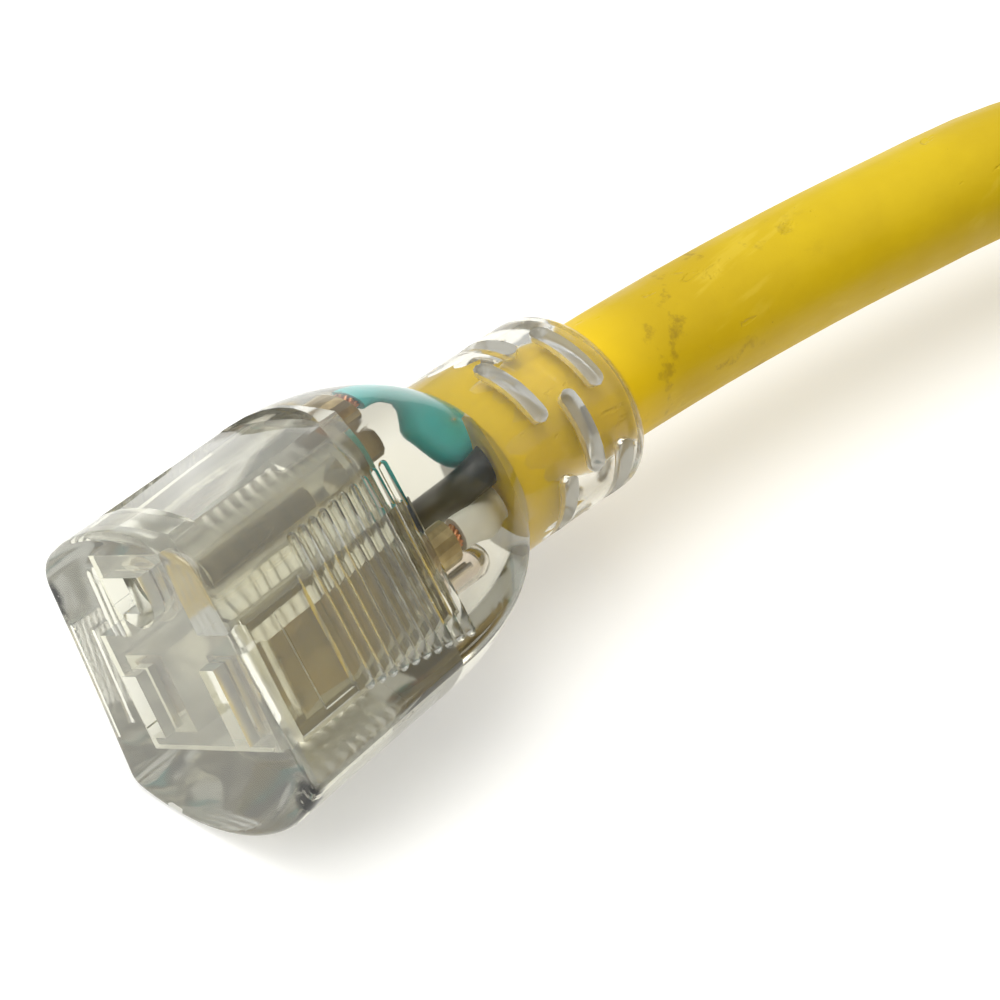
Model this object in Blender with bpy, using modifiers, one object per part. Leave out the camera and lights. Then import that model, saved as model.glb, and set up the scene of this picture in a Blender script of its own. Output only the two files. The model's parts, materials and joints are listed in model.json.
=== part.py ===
"""Shore power cord with a clear moulded 15 A connector, a heavy round jacket and a clear moulded plug.

Metres, +Z up.  The connector lies on the surface with its mating face towards -Y and its cord leaving
towards +Y; it is rolled about its own axis, as a stiff cord holds it.  The free cord runs to a wound coil,
and the plug at its far end lies on that coil.

Each moulded end has a frame of its own: X across the face, Y from the face towards the cord, Z from the
blades towards the ground pin, with the origin on the axis at the face.
"""

import math

import bpy
import bmesh
from mathutils import Matrix, Vector

MM = 0.001
GAP = 0.3 * MM                      # clearance between pieces that touch

# ---- Cord ----
CORD_D = 14.2 * MM
CORD_R = CORD_D / 2
WIRE_R = 1.8 * MM                   # insulated conductor
STRAND_R = 1.35 * MM                # bare conductor
WIRE_OFFSET = 2.9 * MM              # conductor centre from the cord's centre
END_LEAN = 0.4 * MM                 # how far a bent cord's cut end leans forward at its rim
WIRE_ANGLES = {"green": 80, "black": 200, "white": 320}     # round the cord's centre, from +X towards +Z

# In the connector the black conductor crosses over the white one on its way to the far contact.
# Each has its angle, how far it leads out of the jacket, the point it swings by, and its run into the barrel.
CROSSING_WAYS = {
    "green": (102, 2.6 * MM, (-0.2 * MM, 36.0 * MM, 7.4 * MM), 4.0 * MM),
    "black": (18, 4.4 * MM, (2.6 * MM, 34.4 * MM, 0.4 * MM), 5.2 * MM),
    "white": (280, 2.4 * MM, (3.2 * MM, 36.5 * MM, -4.6 * MM), 4.5 * MM),
}

# ---- Socket and blade pattern, 15 A / 125 V grounding ----
BLADE_PITCH = 12.7 * MM
GROUND_RISE = 11.9 * MM             # ground contact above the line of the blades
BLADE_LINE = -1.8 * MM              # height of the blades' centres in a moulded end's frame
GROUND_Z = BLADE_LINE + GROUND_RISE
HOT_X = -BLADE_PITCH / 2
NEUTRAL_X = BLADE_PITCH / 2
BLADE_T = 1.5 * MM
HOT_BLADE_H = 6.3 * MM
NEUTRAL_BLADE_H = 7.9 * MM
BLADE_OUT = 17.8 * MM               # blade length in front of the plug's face
GROUND_PIN_D = 4.8 * MM
GROUND_PIN_OUT = 21.0 * MM

# ---- Connector body ----
TOP_HALF_W = 12.3 * MM
TOP_CORNER_Z = 14.05 * MM
CROWN_Z = 17.7 * MM
BOTTOM_HALF_W = 14.4 * MM
BOTTOM_CORNER_Z = -10.85 * MM
BELLY_Z = -16.8 * MM
FACE_ROUND = 0.9 * MM
DRAFT = 0.03                        # how much the section shrinks from the face to the shoulder
SHOULDER_Y = 22.3 * MM
DOME_END_Y = 40.2 * MM
BOOT_R = 10.4 * MM
BOOT_END_Y = 58.0 * MM
BOOT_ROUND = 1.6 * MM
SIDE_STEPS = 7                      # points along a side, which also round the boot
BODY_ROLL = math.radians(30.7)
FRONT_WALL = 3.2 * MM
JACKET_END_Y = 40.5 * MM            # where the jacket is stripped inside the connector

# The cord's centre line leaves the body's axis as a shallow parabola, towards +X.
BEND_START_Y = 22.0 * MM
BEND_RATE = 0.00145 / MM

# ---- Contact carrier ----
CARRIER_Y0 = FRONT_WALL + GAP
CARRIER_Y1 = 24.5 * MM
COVER_T = 1.8 * MM
COVER_Y1 = CARRIER_Y1 + GAP + COVER_T
CARRIER_HALF_W = 9.6 * MM
CARRIER_LOW_Z = -7.2 * MM
CARRIER_STEP_Z = 5.2 * MM
CARRIER_NECK_HALF_W = 5.2 * MM
CARRIER_HIGH_Z = 14.2 * MM
BARREL_R = 2.35 * MM
BARREL_BORE_R = 1.7 * MM
BARREL_Y1 = 30.5 * MM
CHAMBER_Y1 = 31.8 * MM
SHEET_T = 0.6 * MM                  # contact brass

# ---- Plug body ----
PLUG_HALF_W = 13.4 * MM
PLUG_SHOULDER_Y = 15.0 * MM
PLUG_DOME_END_Y = 31.0 * MM
PLUG_BOOT_END_Y = 49.0 * MM
PLUG_JACKET_END_Y = 30.0 * MM
BRIDGE_Y0 = 2.0 * MM
BRIDGE_Y1 = 11.0 * MM

# ---- Coil ----
TURNS_ACROSS = 4
TURNS_HIGH = 4
COIL_MID_R = 82.5 * MM
STRAP_T = 2.0 * MM
STRAP_W = 20.0 * MM
COIL_Z0 = STRAP_T + GAP
COIL_Z1 = COIL_Z0 + TURNS_HIGH * CORD_D
COIL_HALF_W = TURNS_ACROSS * CORD_D / 2
COIL_X = 164.0 * MM                 # from the connector's axis
COIL_Y = 113.0 * MM                 # from the connector's face
PLUG_X = COIL_X + 83.2 * MM
PLUG_FACE_Y = 64.0 * MM
STRAP_ANGLES = {"coil_strap_left": 180.0, "coil_strap_front": 300.0, "coil_strap_back": 60.0}

LENGTH_MIDDLE_Y = BOOT_END_Y / 2    # the frame's origin is under the middle of the connector


# ---------------------------------------------------------------- scene and small helpers

for old in list(bpy.data.objects):
    bpy.data.objects.remove(old, do_unlink=True)


def new_collection(name):
    collection = bpy.data.collections.new(name)
    bpy.context.scene.collection.children.link(collection)
    return collection


PARTS = new_collection("shore_power_cord")
CUTTERS = new_collection("cutters")


def material(name, colour, roughness, metallic=0.0, transmission=0.0):
    made = bpy.data.materials.new(name)
    made.use_nodes = True
    shader = made.node_tree.nodes["Principled BSDF"]
    shader.inputs["Base Color"].default_value = (*colour, 1.0)
    shader.inputs["Roughness"].default_value = roughness
    shader.inputs["Metallic"].default_value = metallic
    shader.inputs["Transmission Weight"].default_value = transmission
    return made


CLEAR_VINYL = material("clear_vinyl", (0.86, 0.88, 0.82), 0.08, transmission=0.9)
CLEAR_RIGID = material("clear_rigid_plastic", (0.9, 0.9, 0.88), 0.06, transmission=0.9)
YELLOW_JACKET = material("yellow_jacket", (0.72, 0.50, 0.02), 0.45)
BRASS = material("brass", (0.62, 0.44, 0.16), 0.3, metallic=1.0)
NICKEL_BRASS = material("nickel_plated_brass", (0.66, 0.62, 0.55), 0.25, metallic=1.0)
COPPER = material("copper_strands", (0.72, 0.33, 0.16), 0.35, metallic=1.0)
INSULATION = {
    "black": material("black_insulation", (0.03, 0.035, 0.04), 0.4),
    "white": material("white_insulation", (0.78, 0.77, 0.72), 0.4),
    "green": material("green_insulation", (0.03, 0.42, 0.34), 0.4),
}
LAMP_GLASS = material("lamp_glass", (0.95, 0.9, 0.85), 0.03, transmission=0.9)
TINNED_WIRE = material("tinned_wire", (0.7, 0.7, 0.68), 0.3, metallic=1.0)
RESISTOR_COAT = material("resistor_coat", (0.62, 0.5, 0.34), 0.5)
STRAP_FABRIC = material("black_strap", (0.02, 0.02, 0.022), 0.9)


def finish_object(name, mesh, parent, surface, cutter=False, smooth=False):
    """Link a mesh as a named piece, or as a cutter that is left out of the model."""
    made = bpy.data.objects.new(name, mesh)
    if cutter:
        CUTTERS.objects.link(made)
        made.hide_render = True
        made.display_type = "WIRE"
    else:
        PARTS.objects.link(made)
        mesh.materials.append(surface)
    if smooth:
        mesh.shade_smooth()
        mesh.set_sharp_from_angle(angle=math.radians(35))
    made.parent = parent
    return made


def mesh_from(bm, name):
    bmesh.ops.recalc_face_normals(bm, faces=bm.faces)
    mesh = bpy.data.meshes.new(name)
    bm.to_mesh(mesh)
    bm.free()
    return mesh


def box(name, low, high, parent, surface=None, cutter=False):
    bm = bmesh.new()
    bmesh.ops.create_cube(bm, size=1.0)
    low, high = Vector(low), Vector(high)
    for vertex in bm.verts:
        for axis in range(3):
            vertex.co[axis] = low[axis] if vertex.co[axis] < 0 else high[axis]
    return finish_object(name, mesh_from(bm, name), parent, surface, cutter)


def rod_y(name, centre_xz, radius, y0, y1, parent, surface=None, cutter=False, sides=16):
    """A cylinder along Y."""
    bm = bmesh.new()
    turn = Matrix.Rotation(math.radians(-90), 4, "X")
    place = Matrix.Translation((centre_xz[0], (y0 + y1) / 2, centre_xz[1])) @ turn
    bmesh.ops.create_cone(bm, cap_ends=True, segments=sides, radius1=radius, radius2=radius,
                          depth=y1 - y0, matrix=place)
    return finish_object(name, mesh_from(bm, name), parent, surface, cutter, smooth=True)


def as_mesh(curve_object, name, parent, surface, cutter=False, smooth=False):
    """Turn a curve object into a welded mesh object with the same place."""
    bpy.context.view_layer.update()
    evaluated = curve_object.evaluated_get(bpy.context.evaluated_depsgraph_get())
    mesh = bpy.data.meshes.new_from_object(evaluated)
    mesh.transform(curve_object.matrix_world)
    mesh.materials.clear()
    mesh.name = name
    bm = bmesh.new()
    bm.from_mesh(mesh)
    bmesh.ops.remove_doubles(bm, verts=bm.verts, dist=0.00001)
    bmesh.ops.recalc_face_normals(bm, faces=bm.faces)
    bm.to_mesh(mesh)
    bm.free()
    data = curve_object.data
    bpy.data.objects.remove(curve_object)
    bpy.data.curves.remove(data)
    return finish_object(name, mesh, parent, surface, cutter, smooth)


def plate(name, outlines, half_thickness, plane, parent, surface=None, cutter=False):
    """A flat outline, with inner outlines as holes, thickened both ways.

    plane is a matrix that takes the outline's XY plane to its place."""
    data = bpy.data.curves.new(name, "CURVE")
    data.dimensions = "2D"
    data.fill_mode = "BOTH"
    data.extrude = half_thickness
    for outline in outlines:
        spline = data.splines.new("POLY")
        spline.points.add(len(outline) - 1)
        for point, (x, y) in zip(spline.points, outline):
            point.co = (x, y, 0.0, 1.0)
        spline.use_cyclic_u = True
    made = bpy.data.objects.new(name, data)
    PARTS.objects.link(made)
    made.matrix_world = plane
    return as_mesh(made, name, parent, surface, cutter)


def tube(name, points, radius, parent, surface=None, cutter=False, resolution=2):
    """A round wire or cord through the points, with closed ends."""
    data = bpy.data.curves.new(name, "CURVE")
    data.dimensions = "3D"
    data.bevel_depth = radius
    data.bevel_resolution = resolution
    data.use_fill_caps = True
    spline = data.splines.new("POLY")
    spline.points.add(len(points) - 1)
    for point, place in zip(spline.points, points):
        point.co = (*place, 1.0)
    made = bpy.data.objects.new(name, data)
    PARTS.objects.link(made)
    return as_mesh(made, name, parent, surface, cutter, smooth=True)


def cut(target, cutter, operation="DIFFERENCE"):
    step = target.modifiers.new(cutter.name, "BOOLEAN")
    step.operation = operation
    step.object = cutter
    step.solver = "EXACT"


def smooth_route(points, spacing):
    """Points a set distance apart along a centripetal Catmull-Rom curve through the route's points."""
    points = [Vector(p) for p in points]
    ends = [2 * points[0] - points[1]] + points + [2 * points[-1] - points[-2]]
    fine = []
    for p0, p1, p2, p3 in zip(ends, ends[1:], ends[2:], ends[3:]):
        knots = [0.0]
        for a, b in ((p0, p1), (p1, p2), (p2, p3)):
            knots.append(knots[-1] + math.sqrt((b - a).length))
        t0, t1, t2, t3 = knots
        for step in range(24):
            t = t1 + (t2 - t1) * step / 24
            a1 = p0.lerp(p1, (t - t0) / (t1 - t0))
            a2 = p1.lerp(p2, (t - t1) / (t2 - t1))
            a3 = p2.lerp(p3, (t - t2) / (t3 - t2))
            b1 = a1.lerp(a2, (t - t0) / (t2 - t0))
            b2 = a2.lerp(a3, (t - t1) / (t3 - t1))
            fine.append(b1.lerp(b2, (t - t1) / (t2 - t1)))
    fine.append(points[-1])
    length = sum((b - a).length for a, b in zip(fine, fine[1:]))
    count = max(2, round(length / spacing))
    chosen, walked, target = [fine[0]], 0.0, length / count
    for a, b in zip(fine, fine[1:]):
        walked += (b - a).length
        if walked >= target * len(chosen) and len(chosen) < count:
            chosen.append(b)
    return chosen + [fine[-1]]


# ---------------------------------------------------------------- the moulded bodies' shape

def arc_points(half_width, corner_z, crown_z, count):
    """An arc from (-half_width, corner_z) over (0, crown_z) to (half_width, corner_z)."""
    rise = abs(crown_z - corner_z)
    radius = (half_width ** 2 + rise ** 2) / (2 * rise)
    upwards = 1 if crown_z > corner_z else -1
    centre_z = crown_z - upwards * radius
    reach = math.asin(half_width / radius)
    angles = [-reach + 2 * reach * i / count for i in range(count + 1)]
    return [(radius * math.sin(t), centre_z + upwards * radius * math.cos(t)) for t in angles]


def round_corners(outline, corners, steps=3):
    """Replace the numbered corners of a closed outline by short curves of the given reach."""
    rounded = []
    for i, point in enumerate(outline):
        if i not in corners:
            rounded.append(point)
            continue
        here = Vector(point)
        before = Vector(outline[i - 1])
        after = Vector(outline[(i + 1) % len(outline)])
        start = here + (before - here).normalized() * min(corners[i], (before - here).length * 0.45)
        end = here + (after - here).normalized() * min(corners[i], (after - here).length * 0.45)
        for k in range(steps + 1):
            t = k / steps
            p = start.lerp(here, t).lerp(here.lerp(end, t), t)
            rounded.append((p.x, p.y))
    return rounded


def body_outline(top_half_w, bottom_half_w):
    """The body's section: crowned top and belly, nearly flat sides, rounded corners."""
    top = arc_points(top_half_w, TOP_CORNER_Z, CROWN_Z, 8)
    bottom = arc_points(bottom_half_w, BOTTOM_CORNER_Z, BELLY_Z, 10)[::-1]
    top_corner, bottom_corner = Vector(top[-1]), Vector(bottom[0])
    side = [top_corner.lerp(bottom_corner, i / SIDE_STEPS) for i in range(1, SIDE_STEPS)]
    right = [(p.x, p.y) for p in side]
    left = [(-p.x, p.y) for p in side[::-1]]
    outline = top + right + bottom + left
    last_top, first_bottom = len(top) - 1, len(top) + len(right)
    last_bottom = first_bottom + len(bottom) - 1
    corners = {0: 2.2 * MM, last_top: 2.2 * MM, first_bottom: 1.0 * MM, last_bottom: 1.0 * MM}
    return round_corners(outline, corners)


CONNECTOR_OUTLINE = body_outline(TOP_HALF_W, BOTTOM_HALF_W)
PLUG_OUTLINE = body_outline(PLUG_HALF_W, PLUG_HALF_W)


def bend(y):
    """How far the cord's centre line stands off the connector's axis, towards +X of the world."""
    return BEND_RATE * max(0.0, y - BEND_START_Y) ** 2


def bend_in_body(y):
    """The same in the rolled body's own frame."""
    return Vector((bend(y) * math.cos(BODY_ROLL), 0, -bend(y) * math.sin(BODY_ROLL)))


def moulded_body(name, outline, shoulder_y, dome_end_y, boot_end_y, offset, parent):
    """A loft: rounded face, drafted body, domed shoulder, round boot with a rounded end."""
    sections = [(0.0, FACE_ROUND), (FACE_ROUND * 0.3, FACE_ROUND * 0.3), (FACE_ROUND, 0.0)]
    rings = []
    for y, inset in sections:
        rings.append([(x * (1 - inset / math.hypot(x, z)), y, z * (1 - inset / math.hypot(x, z)))
                      for x, z in outline])
    shrink = 1 - DRAFT
    rings.append([(x * shrink, shoulder_y, z * shrink) for x, z in outline])
    dome_steps, dome_share = 7, 0.81
    end_height = math.sqrt(1 - dome_share ** 2)
    for step in range(1, dome_steps + 1):
        u = math.sin(step / dome_steps * math.pi / 2)
        height = (math.sqrt(1 - (dome_share * u) ** 2) - end_height) / (1 - end_height)
        y = shoulder_y + (dome_end_y - shoulder_y) * u
        shift = offset(y)
        ring = []
        for x, z in outline:
            reach = math.hypot(x, z)
            radius = BOOT_R + (reach * shrink - BOOT_R) * height
            ring.append((x / reach * radius + shift.x, y, z / reach * radius + shift.z))
        rings.append(ring)
    straight_end = boot_end_y - BOOT_ROUND
    boot_ys = [(dome_end_y + straight_end) / 2, straight_end]
    boot = [(y, BOOT_R) for y in boot_ys]
    boot += [(straight_end + BOOT_ROUND * 0.7, BOOT_R - BOOT_ROUND * 0.3),
             (boot_end_y, BOOT_R - BOOT_ROUND)]
    for y, radius in boot:
        shift = offset(y)
        rings.append([(x / math.hypot(x, z) * radius + shift.x, y,
                       z / math.hypot(x, z) * radius + shift.z) for x, z in outline])
    bm = bmesh.new()
    loops = [[bm.verts.new(p) for p in ring] for ring in rings]
    count = len(outline)
    for near, far in zip(loops, loops[1:]):
        for i in range(count):
            j = (i + 1) % count
            bm.faces.new((near[i], near[j], far[j], far[i]))
    bm.faces.new(loops[0])
    bm.faces.new(loops[-1])
    return finish_object(name, mesh_from(bm, name), parent, CLEAR_VINYL, smooth=True)


# ---------------------------------------------------------------- planes used by the flat outlines

FACING_Y = Matrix(((1, 0, 0, 0), (0, 0, -1, 0), (0, 1, 0, 0), (0, 0, 0, 1)))   # outline X, Z; depth -Y
SEEN_FROM_ABOVE = Matrix.Identity(4)                                           # outline X, Y; depth Z
SEEN_FROM_SIDE = Matrix(((0, 0, 1, 0), (1, 0, 0, 0), (0, 1, 0, 0), (0, 0, 0, 1)))  # outline Y, Z; depth X


def at(x, y, z, plane):
    return Matrix.Translation((x, y, z)) @ plane


# ---------------------------------------------------------------- pieces of the connector

def ground_opening(width, height, steps=8):
    """The ground opening's outline: flat away from the blades, round towards them."""
    half = width / 2
    flat_z = height - half
    outline = [(half, flat_z), (-half, flat_z)]
    outline += [(-half * math.cos(math.pi * i / steps), -half * math.sin(math.pi * i / steps))
                for i in range(steps + 1)]
    return outline


def blade_contact(name, x, height, parent):
    """Two facing brass leaves joined at the back, pinched near the mouth, with a crimp barrel."""
    mouth_y, pinch_y, back_y = 5.5 * MM, 8.5 * MM, 22.0 * MM
    mouth, pinch, back = 1.9 * MM, 0.95 * MM, 1.75 * MM
    inner = [(mouth, mouth_y), (pinch, pinch_y), (back, pinch_y + 4 * MM), (back, back_y - SHEET_T)]
    outer = [(gap + SHEET_T, y) for gap, y in inner[:-1]] + [(back + SHEET_T, back_y)]
    right = inner[::-1] + outer
    outline = right + [(-gap, y) for gap, y in outer[::-1]] + [(-gap, y) for gap, y in inner]
    contact = plate(name, [outline], height / 2, at(x, 0, BLADE_LINE, SEEN_FROM_ABOVE), parent, BRASS)
    strip = box(name + "_strip", (x - 1.0 * MM, back_y - 0.2 * MM, BLADE_LINE - 0.4 * MM),
                (x + 1.0 * MM, 27.0 * MM, BLADE_LINE + 0.4 * MM), parent, cutter=True)
    cut(contact, strip, "UNION")
    add_barrel(contact, (x, BLADE_LINE), 26.0 * MM, BARREL_Y1, parent)
    return contact


def add_barrel(piece, centre_xz, y0, y1, parent):
    """Join a crimp barrel to a contact, and bore it from its open end."""
    barrel = rod_y(piece.name + "_barrel", centre_xz, BARREL_R, y0, y1, parent, cutter=True)
    bore = rod_y(piece.name + "_bore", centre_xz, BARREL_BORE_R, y0 + 1.0 * MM, y1 + 1.0 * MM, parent,
                 cutter=True)
    cut(piece, barrel, "UNION")
    cut(piece, bore)


def ground_contact(parent):
    """A split brass sleeve that grips the round ground pin, with a strip and a crimp barrel."""
    outer, inner, half_slit = 3.3 * MM, 2.7 * MM, math.radians(28)
    steps = 12
    angles = [-math.pi / 2 + half_slit + (2 * math.pi - 2 * half_slit) * i / steps
              for i in range(steps + 1)]
    outline = [(outer * math.cos(t), outer * math.sin(t)) for t in angles]
    outline += [(inner * math.cos(t), inner * math.sin(t)) for t in angles[::-1]]
    y0, y1 = 5.5 * MM, 20.0 * MM
    contact = plate("ground_contact", [outline], (y1 - y0) / 2, at(0, (y0 + y1) / 2, GROUND_Z, FACING_Y),
                    parent, BRASS)
    strip = box("ground_contact_strip", (-1.2 * MM, y1 - 3.0 * MM, GROUND_Z + inner + 0.1 * MM),
                (1.2 * MM, 26.6 * MM, GROUND_Z + outer - 0.1 * MM), parent, cutter=True)
    riser = box("ground_contact_riser", (-1.2 * MM, 26.0 * MM, GROUND_Z - 0.5 * MM),
                (1.2 * MM, 26.6 * MM, GROUND_Z + outer - 0.1 * MM), parent, cutter=True)
    cut(contact, strip, "UNION")
    cut(contact, riser, "UNION")
    add_barrel(contact, (0, GROUND_Z), 26.3 * MM, BARREL_Y1, parent)
    return contact


def carrier_outline(grow=0.0):
    """The carrier's section: a wide block for the blade contacts, a narrow one for the ground."""
    wide, neck = CARRIER_HALF_W + grow, CARRIER_NECK_HALF_W + grow
    low, step, high = CARRIER_LOW_Z - grow, CARRIER_STEP_Z + grow, CARRIER_HIGH_Z + grow
    return [(-wide, low), (wide, low), (wide, step), (neck, step), (neck, high), (-neck, high),
            (-neck, step), (-wide, step)]


def contact_carrier(parent):
    middle, half = (CARRIER_Y0 + CARRIER_Y1) / 2, (CARRIER_Y1 - CARRIER_Y0) / 2
    carrier = plate("contact_carrier", [carrier_outline()], half, at(0, middle, 0, FACING_Y), parent,
                    CLEAR_RIGID)
    past = CARRIER_Y1 + 1.0 * MM
    wall_y = 5.0 * MM
    for label, x, height in (("hot", HOT_X, HOT_BLADE_H), ("neutral", NEUTRAL_X, NEUTRAL_BLADE_H)):
        cell = box("carrier_cell_" + label, (x - 2.8 * MM, wall_y, BLADE_LINE - 4.4 * MM),
                   (x + 2.8 * MM, past, BLADE_LINE + 4.4 * MM), parent, cutter=True)
        slot = box("carrier_slot_" + label, (x - 1.05 * MM, 1.0 * MM, BLADE_LINE - height / 2 - 0.3 * MM),
                   (x + 1.05 * MM, wall_y + 1.0 * MM, BLADE_LINE + height / 2 + 0.3 * MM), parent,
                   cutter=True)
        cut(carrier, cell)
        cut(carrier, slot)
    cell = rod_y("carrier_cell_ground", (0, GROUND_Z), 3.7 * MM, wall_y, past, parent, cutter=True)
    hole_half = (wall_y + 1.0 * MM) / 2
    hole = plate("carrier_hole_ground", [ground_opening(5.6 * MM, 5.4 * MM)], hole_half,
                 at(0, hole_half, GROUND_Z, FACING_Y), parent, cutter=True)
    cut(carrier, cell)
    cut(carrier, hole)
    return carrier


def carrier_cover(parent):
    """The plate that closes the carrier behind the contacts, with a hole for each barrel."""
    y0, y1 = CARRIER_Y1 + GAP, COVER_Y1
    cover = plate("carrier_cover", [carrier_outline()], (y1 - y0) / 2, at(0, (y0 + y1) / 2, 0, FACING_Y),
                  parent, CLEAR_RIGID)
    for label, x, z in (("hot", HOT_X, BLADE_LINE), ("neutral", NEUTRAL_X, BLADE_LINE),
                        ("ground", 0, GROUND_Z + 0.5 * MM)):
        hole = rod_y("cover_hole_" + label, (x, z), 3.0 * MM, y0 - 1.0 * MM, y1 + 1.0 * MM, parent,
                     cutter=True)
        cut(cover, hole)
    return cover


def conductor_start(angle, jacket_end_y, shift):
    """Where a conductor leaves the cord's cut end, clear of that end's lean."""
    turn = math.radians(angle)
    return Vector((WIRE_OFFSET * math.cos(turn), jacket_end_y - GAP - END_LEAN,
                   WIRE_OFFSET * math.sin(turn))) + shift


def s_bend(start, end, steps=5):
    """Points along two equal arcs that leave both ends straight along Y."""
    across = Vector((end.x - start.x, 0, end.z - start.z))
    run, side = end.y - start.y, across.length
    radius = (run ** 2 + side ** 2) / (4 * side)
    turn = math.asin(abs(run) / 2 / radius)
    half = []
    for i in range(steps + 1):
        along = math.copysign(radius * math.sin(turn * i / steps), run)
        half.append(Vector((0, along, 0)) + across.normalized() * radius * (1 - math.cos(turn * i / steps)))
    return [start + p for p in half] + [end - p for p in half[-2::-1]]


def swung_route(start, lead_out, mid, run_in, end, steps=11):
    """A smooth curve that leaves both ends along Y and is drawn towards a point on its way."""
    control = [start, start - Vector((0, lead_out, 0)), Vector(mid), end + Vector((0, run_in, 0)), end]
    order = len(control) - 1
    points = []
    for i in range(steps + 1):
        t = i / steps
        weights = [math.comb(order, k) * (1 - t) ** (order - k) * t ** k for k in range(order + 1)]
        points.append(sum((w * c for w, c in zip(weights, control)), Vector((0, 0, 0))))
    return points


def terminal_wires(prefix, places, jacket_end_y, barrel_end_y, shift, parent, ways=None):
    """Insulated conductors from the jacket's end to the barrels, and the bare strands inside those."""
    made = {}
    for label, (x, z) in places.items():
        end = Vector((x, barrel_end_y + 1.1 * MM, z))
        if ways:
            angle, lead_out, mid, run_in = ways[label]
            route = swung_route(conductor_start(angle, jacket_end_y, shift), lead_out, mid, run_in, end)
        else:
            route = s_bend(conductor_start(WIRE_ANGLES[label], jacket_end_y, shift), end)
        made[label] = tube(f"{prefix}{label}_wire", route, WIRE_R, parent, INSULATION[label])
        made[label + "_cutter"] = tube(f"{prefix}{label}_wire_cutter",
                                       [route[0] + Vector((0, 1.5 * MM, 0))] + route
                                       + [route[-1] - Vector((0, 1.0 * MM, 0))],
                                       WIRE_R + GAP, parent, cutter=True)
        rod_y(f"{prefix}{label}_strands", (x, z), STRAND_R, barrel_end_y - 2.8 * MM,
              end.y - GAP, parent, COPPER, sides=12)
    return made


def lamp(parent):
    """Neon indicator: an open-based glass, two electrode leads and a series resistor."""
    z = -6.9 * MM
    base_y, tip_y = 29.6 * MM, 36.4 * MM
    profile = [(0.0, tip_y), (1.2 * MM, tip_y - 0.4 * MM), (1.9 * MM, tip_y - 1.6 * MM), (1.9 * MM, base_y),
               (1.4 * MM, base_y), (1.4 * MM, tip_y - 1.7 * MM), (0.8 * MM, tip_y - 0.9 * MM),
               (0.0, tip_y - 0.7 * MM)]
    mesh = bpy.data.meshes.new("lamp_bulb")
    mesh.from_pydata([(r, 0, y) for r, y in profile], [(i, i + 1) for i in range(len(profile) - 1)], [])
    bulb = finish_object("lamp_bulb", mesh, parent, LAMP_GLASS)
    bulb.matrix_local = Matrix.Translation((0, 0, z)) @ Matrix.Rotation(math.radians(-90), 4, "X")
    turned = bulb.modifiers.new("turned", "SCREW")
    turned.steps = turned.render_steps = 14
    turned.use_merge_vertices = True
    turned.merge_threshold = 0.00001
    lead_r, post_x = 0.3 * MM, 0.65 * MM
    under_barrel = BLADE_LINE - BARREL_R - GAP - lead_r
    hot_route = [(-post_x, tip_y - 2.4 * MM, z), (-post_x, base_y - 0.6 * MM, z),
                 (-3.2 * MM, base_y - 1.2 * MM, z), (HOT_X, base_y - 1.4 * MM, under_barrel - 0.5 * MM),
                 (HOT_X, base_y - 1.4 * MM, under_barrel)]
    tube("lamp_lead_hot", smooth_route(hot_route, 0.9 * MM), lead_r, parent, TINNED_WIRE)
    body_x0, body_x1, body_y = 2.0 * MM, 5.2 * MM, base_y - 1.3 * MM
    middle_route = [(post_x, tip_y - 2.4 * MM, z), (post_x, base_y - 0.4 * MM, z),
                    (1.0 * MM, body_y + 0.2 * MM, z), (body_x0 - GAP, body_y, z)]
    tube("lamp_lead_middle", smooth_route(middle_route, 0.9 * MM), lead_r, parent, TINNED_WIRE)
    bm = bmesh.new()
    middle = ((body_x0 + body_x1) / 2, body_y, z)
    place = Matrix.Translation(middle) @ Matrix.Rotation(math.radians(90), 4, "Y")
    bmesh.ops.create_cone(bm, cap_ends=True, segments=12, radius1=0.9 * MM, radius2=0.9 * MM,
                          depth=body_x1 - body_x0, matrix=place)
    finish_object("lamp_resistor", mesh_from(bm, "lamp_resistor"), parent, RESISTOR_COAT, smooth=True)
    end_route = [(body_x1 + GAP, body_y, z), (body_x1 + 1.0 * MM, body_y, z + 0.3 * MM),
                 (NEUTRAL_X, body_y, under_barrel - 0.6 * MM), (NEUTRAL_X, body_y, under_barrel)]
    tube("lamp_lead_neutral", smooth_route(end_route, 0.7 * MM), lead_r, parent, TINNED_WIRE)


def strain_relief_slots(body, windows, y_of_ring, offset, parent):
    """Staggered slots round the boot, which let it flex with the cord."""
    depth_in, width = 1.4 * MM, 1.9 * MM
    for ring, (y, centres) in enumerate(y_of_ring.items()):
        for n, centre in enumerate(centres):
            half = math.radians(windows)
            steps = 6
            angles = [math.radians(centre) - half + 2 * half * i / steps for i in range(steps + 1)]
            inner, outer = BOOT_R - depth_in, BOOT_R + 2.0 * MM
            outline = [(outer * math.cos(t), outer * math.sin(t)) for t in angles]
            outline += [(inner * math.cos(t), inner * math.sin(t)) for t in angles[::-1]]
            shift = offset(y * MM)
            slot = plate(f"{body.name}_slot_{ring}_{n}", [outline], width / 2,
                         at(shift.x, y * MM, shift.z, FACING_Y), parent, cutter=True)
            cut(body, slot)


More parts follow.
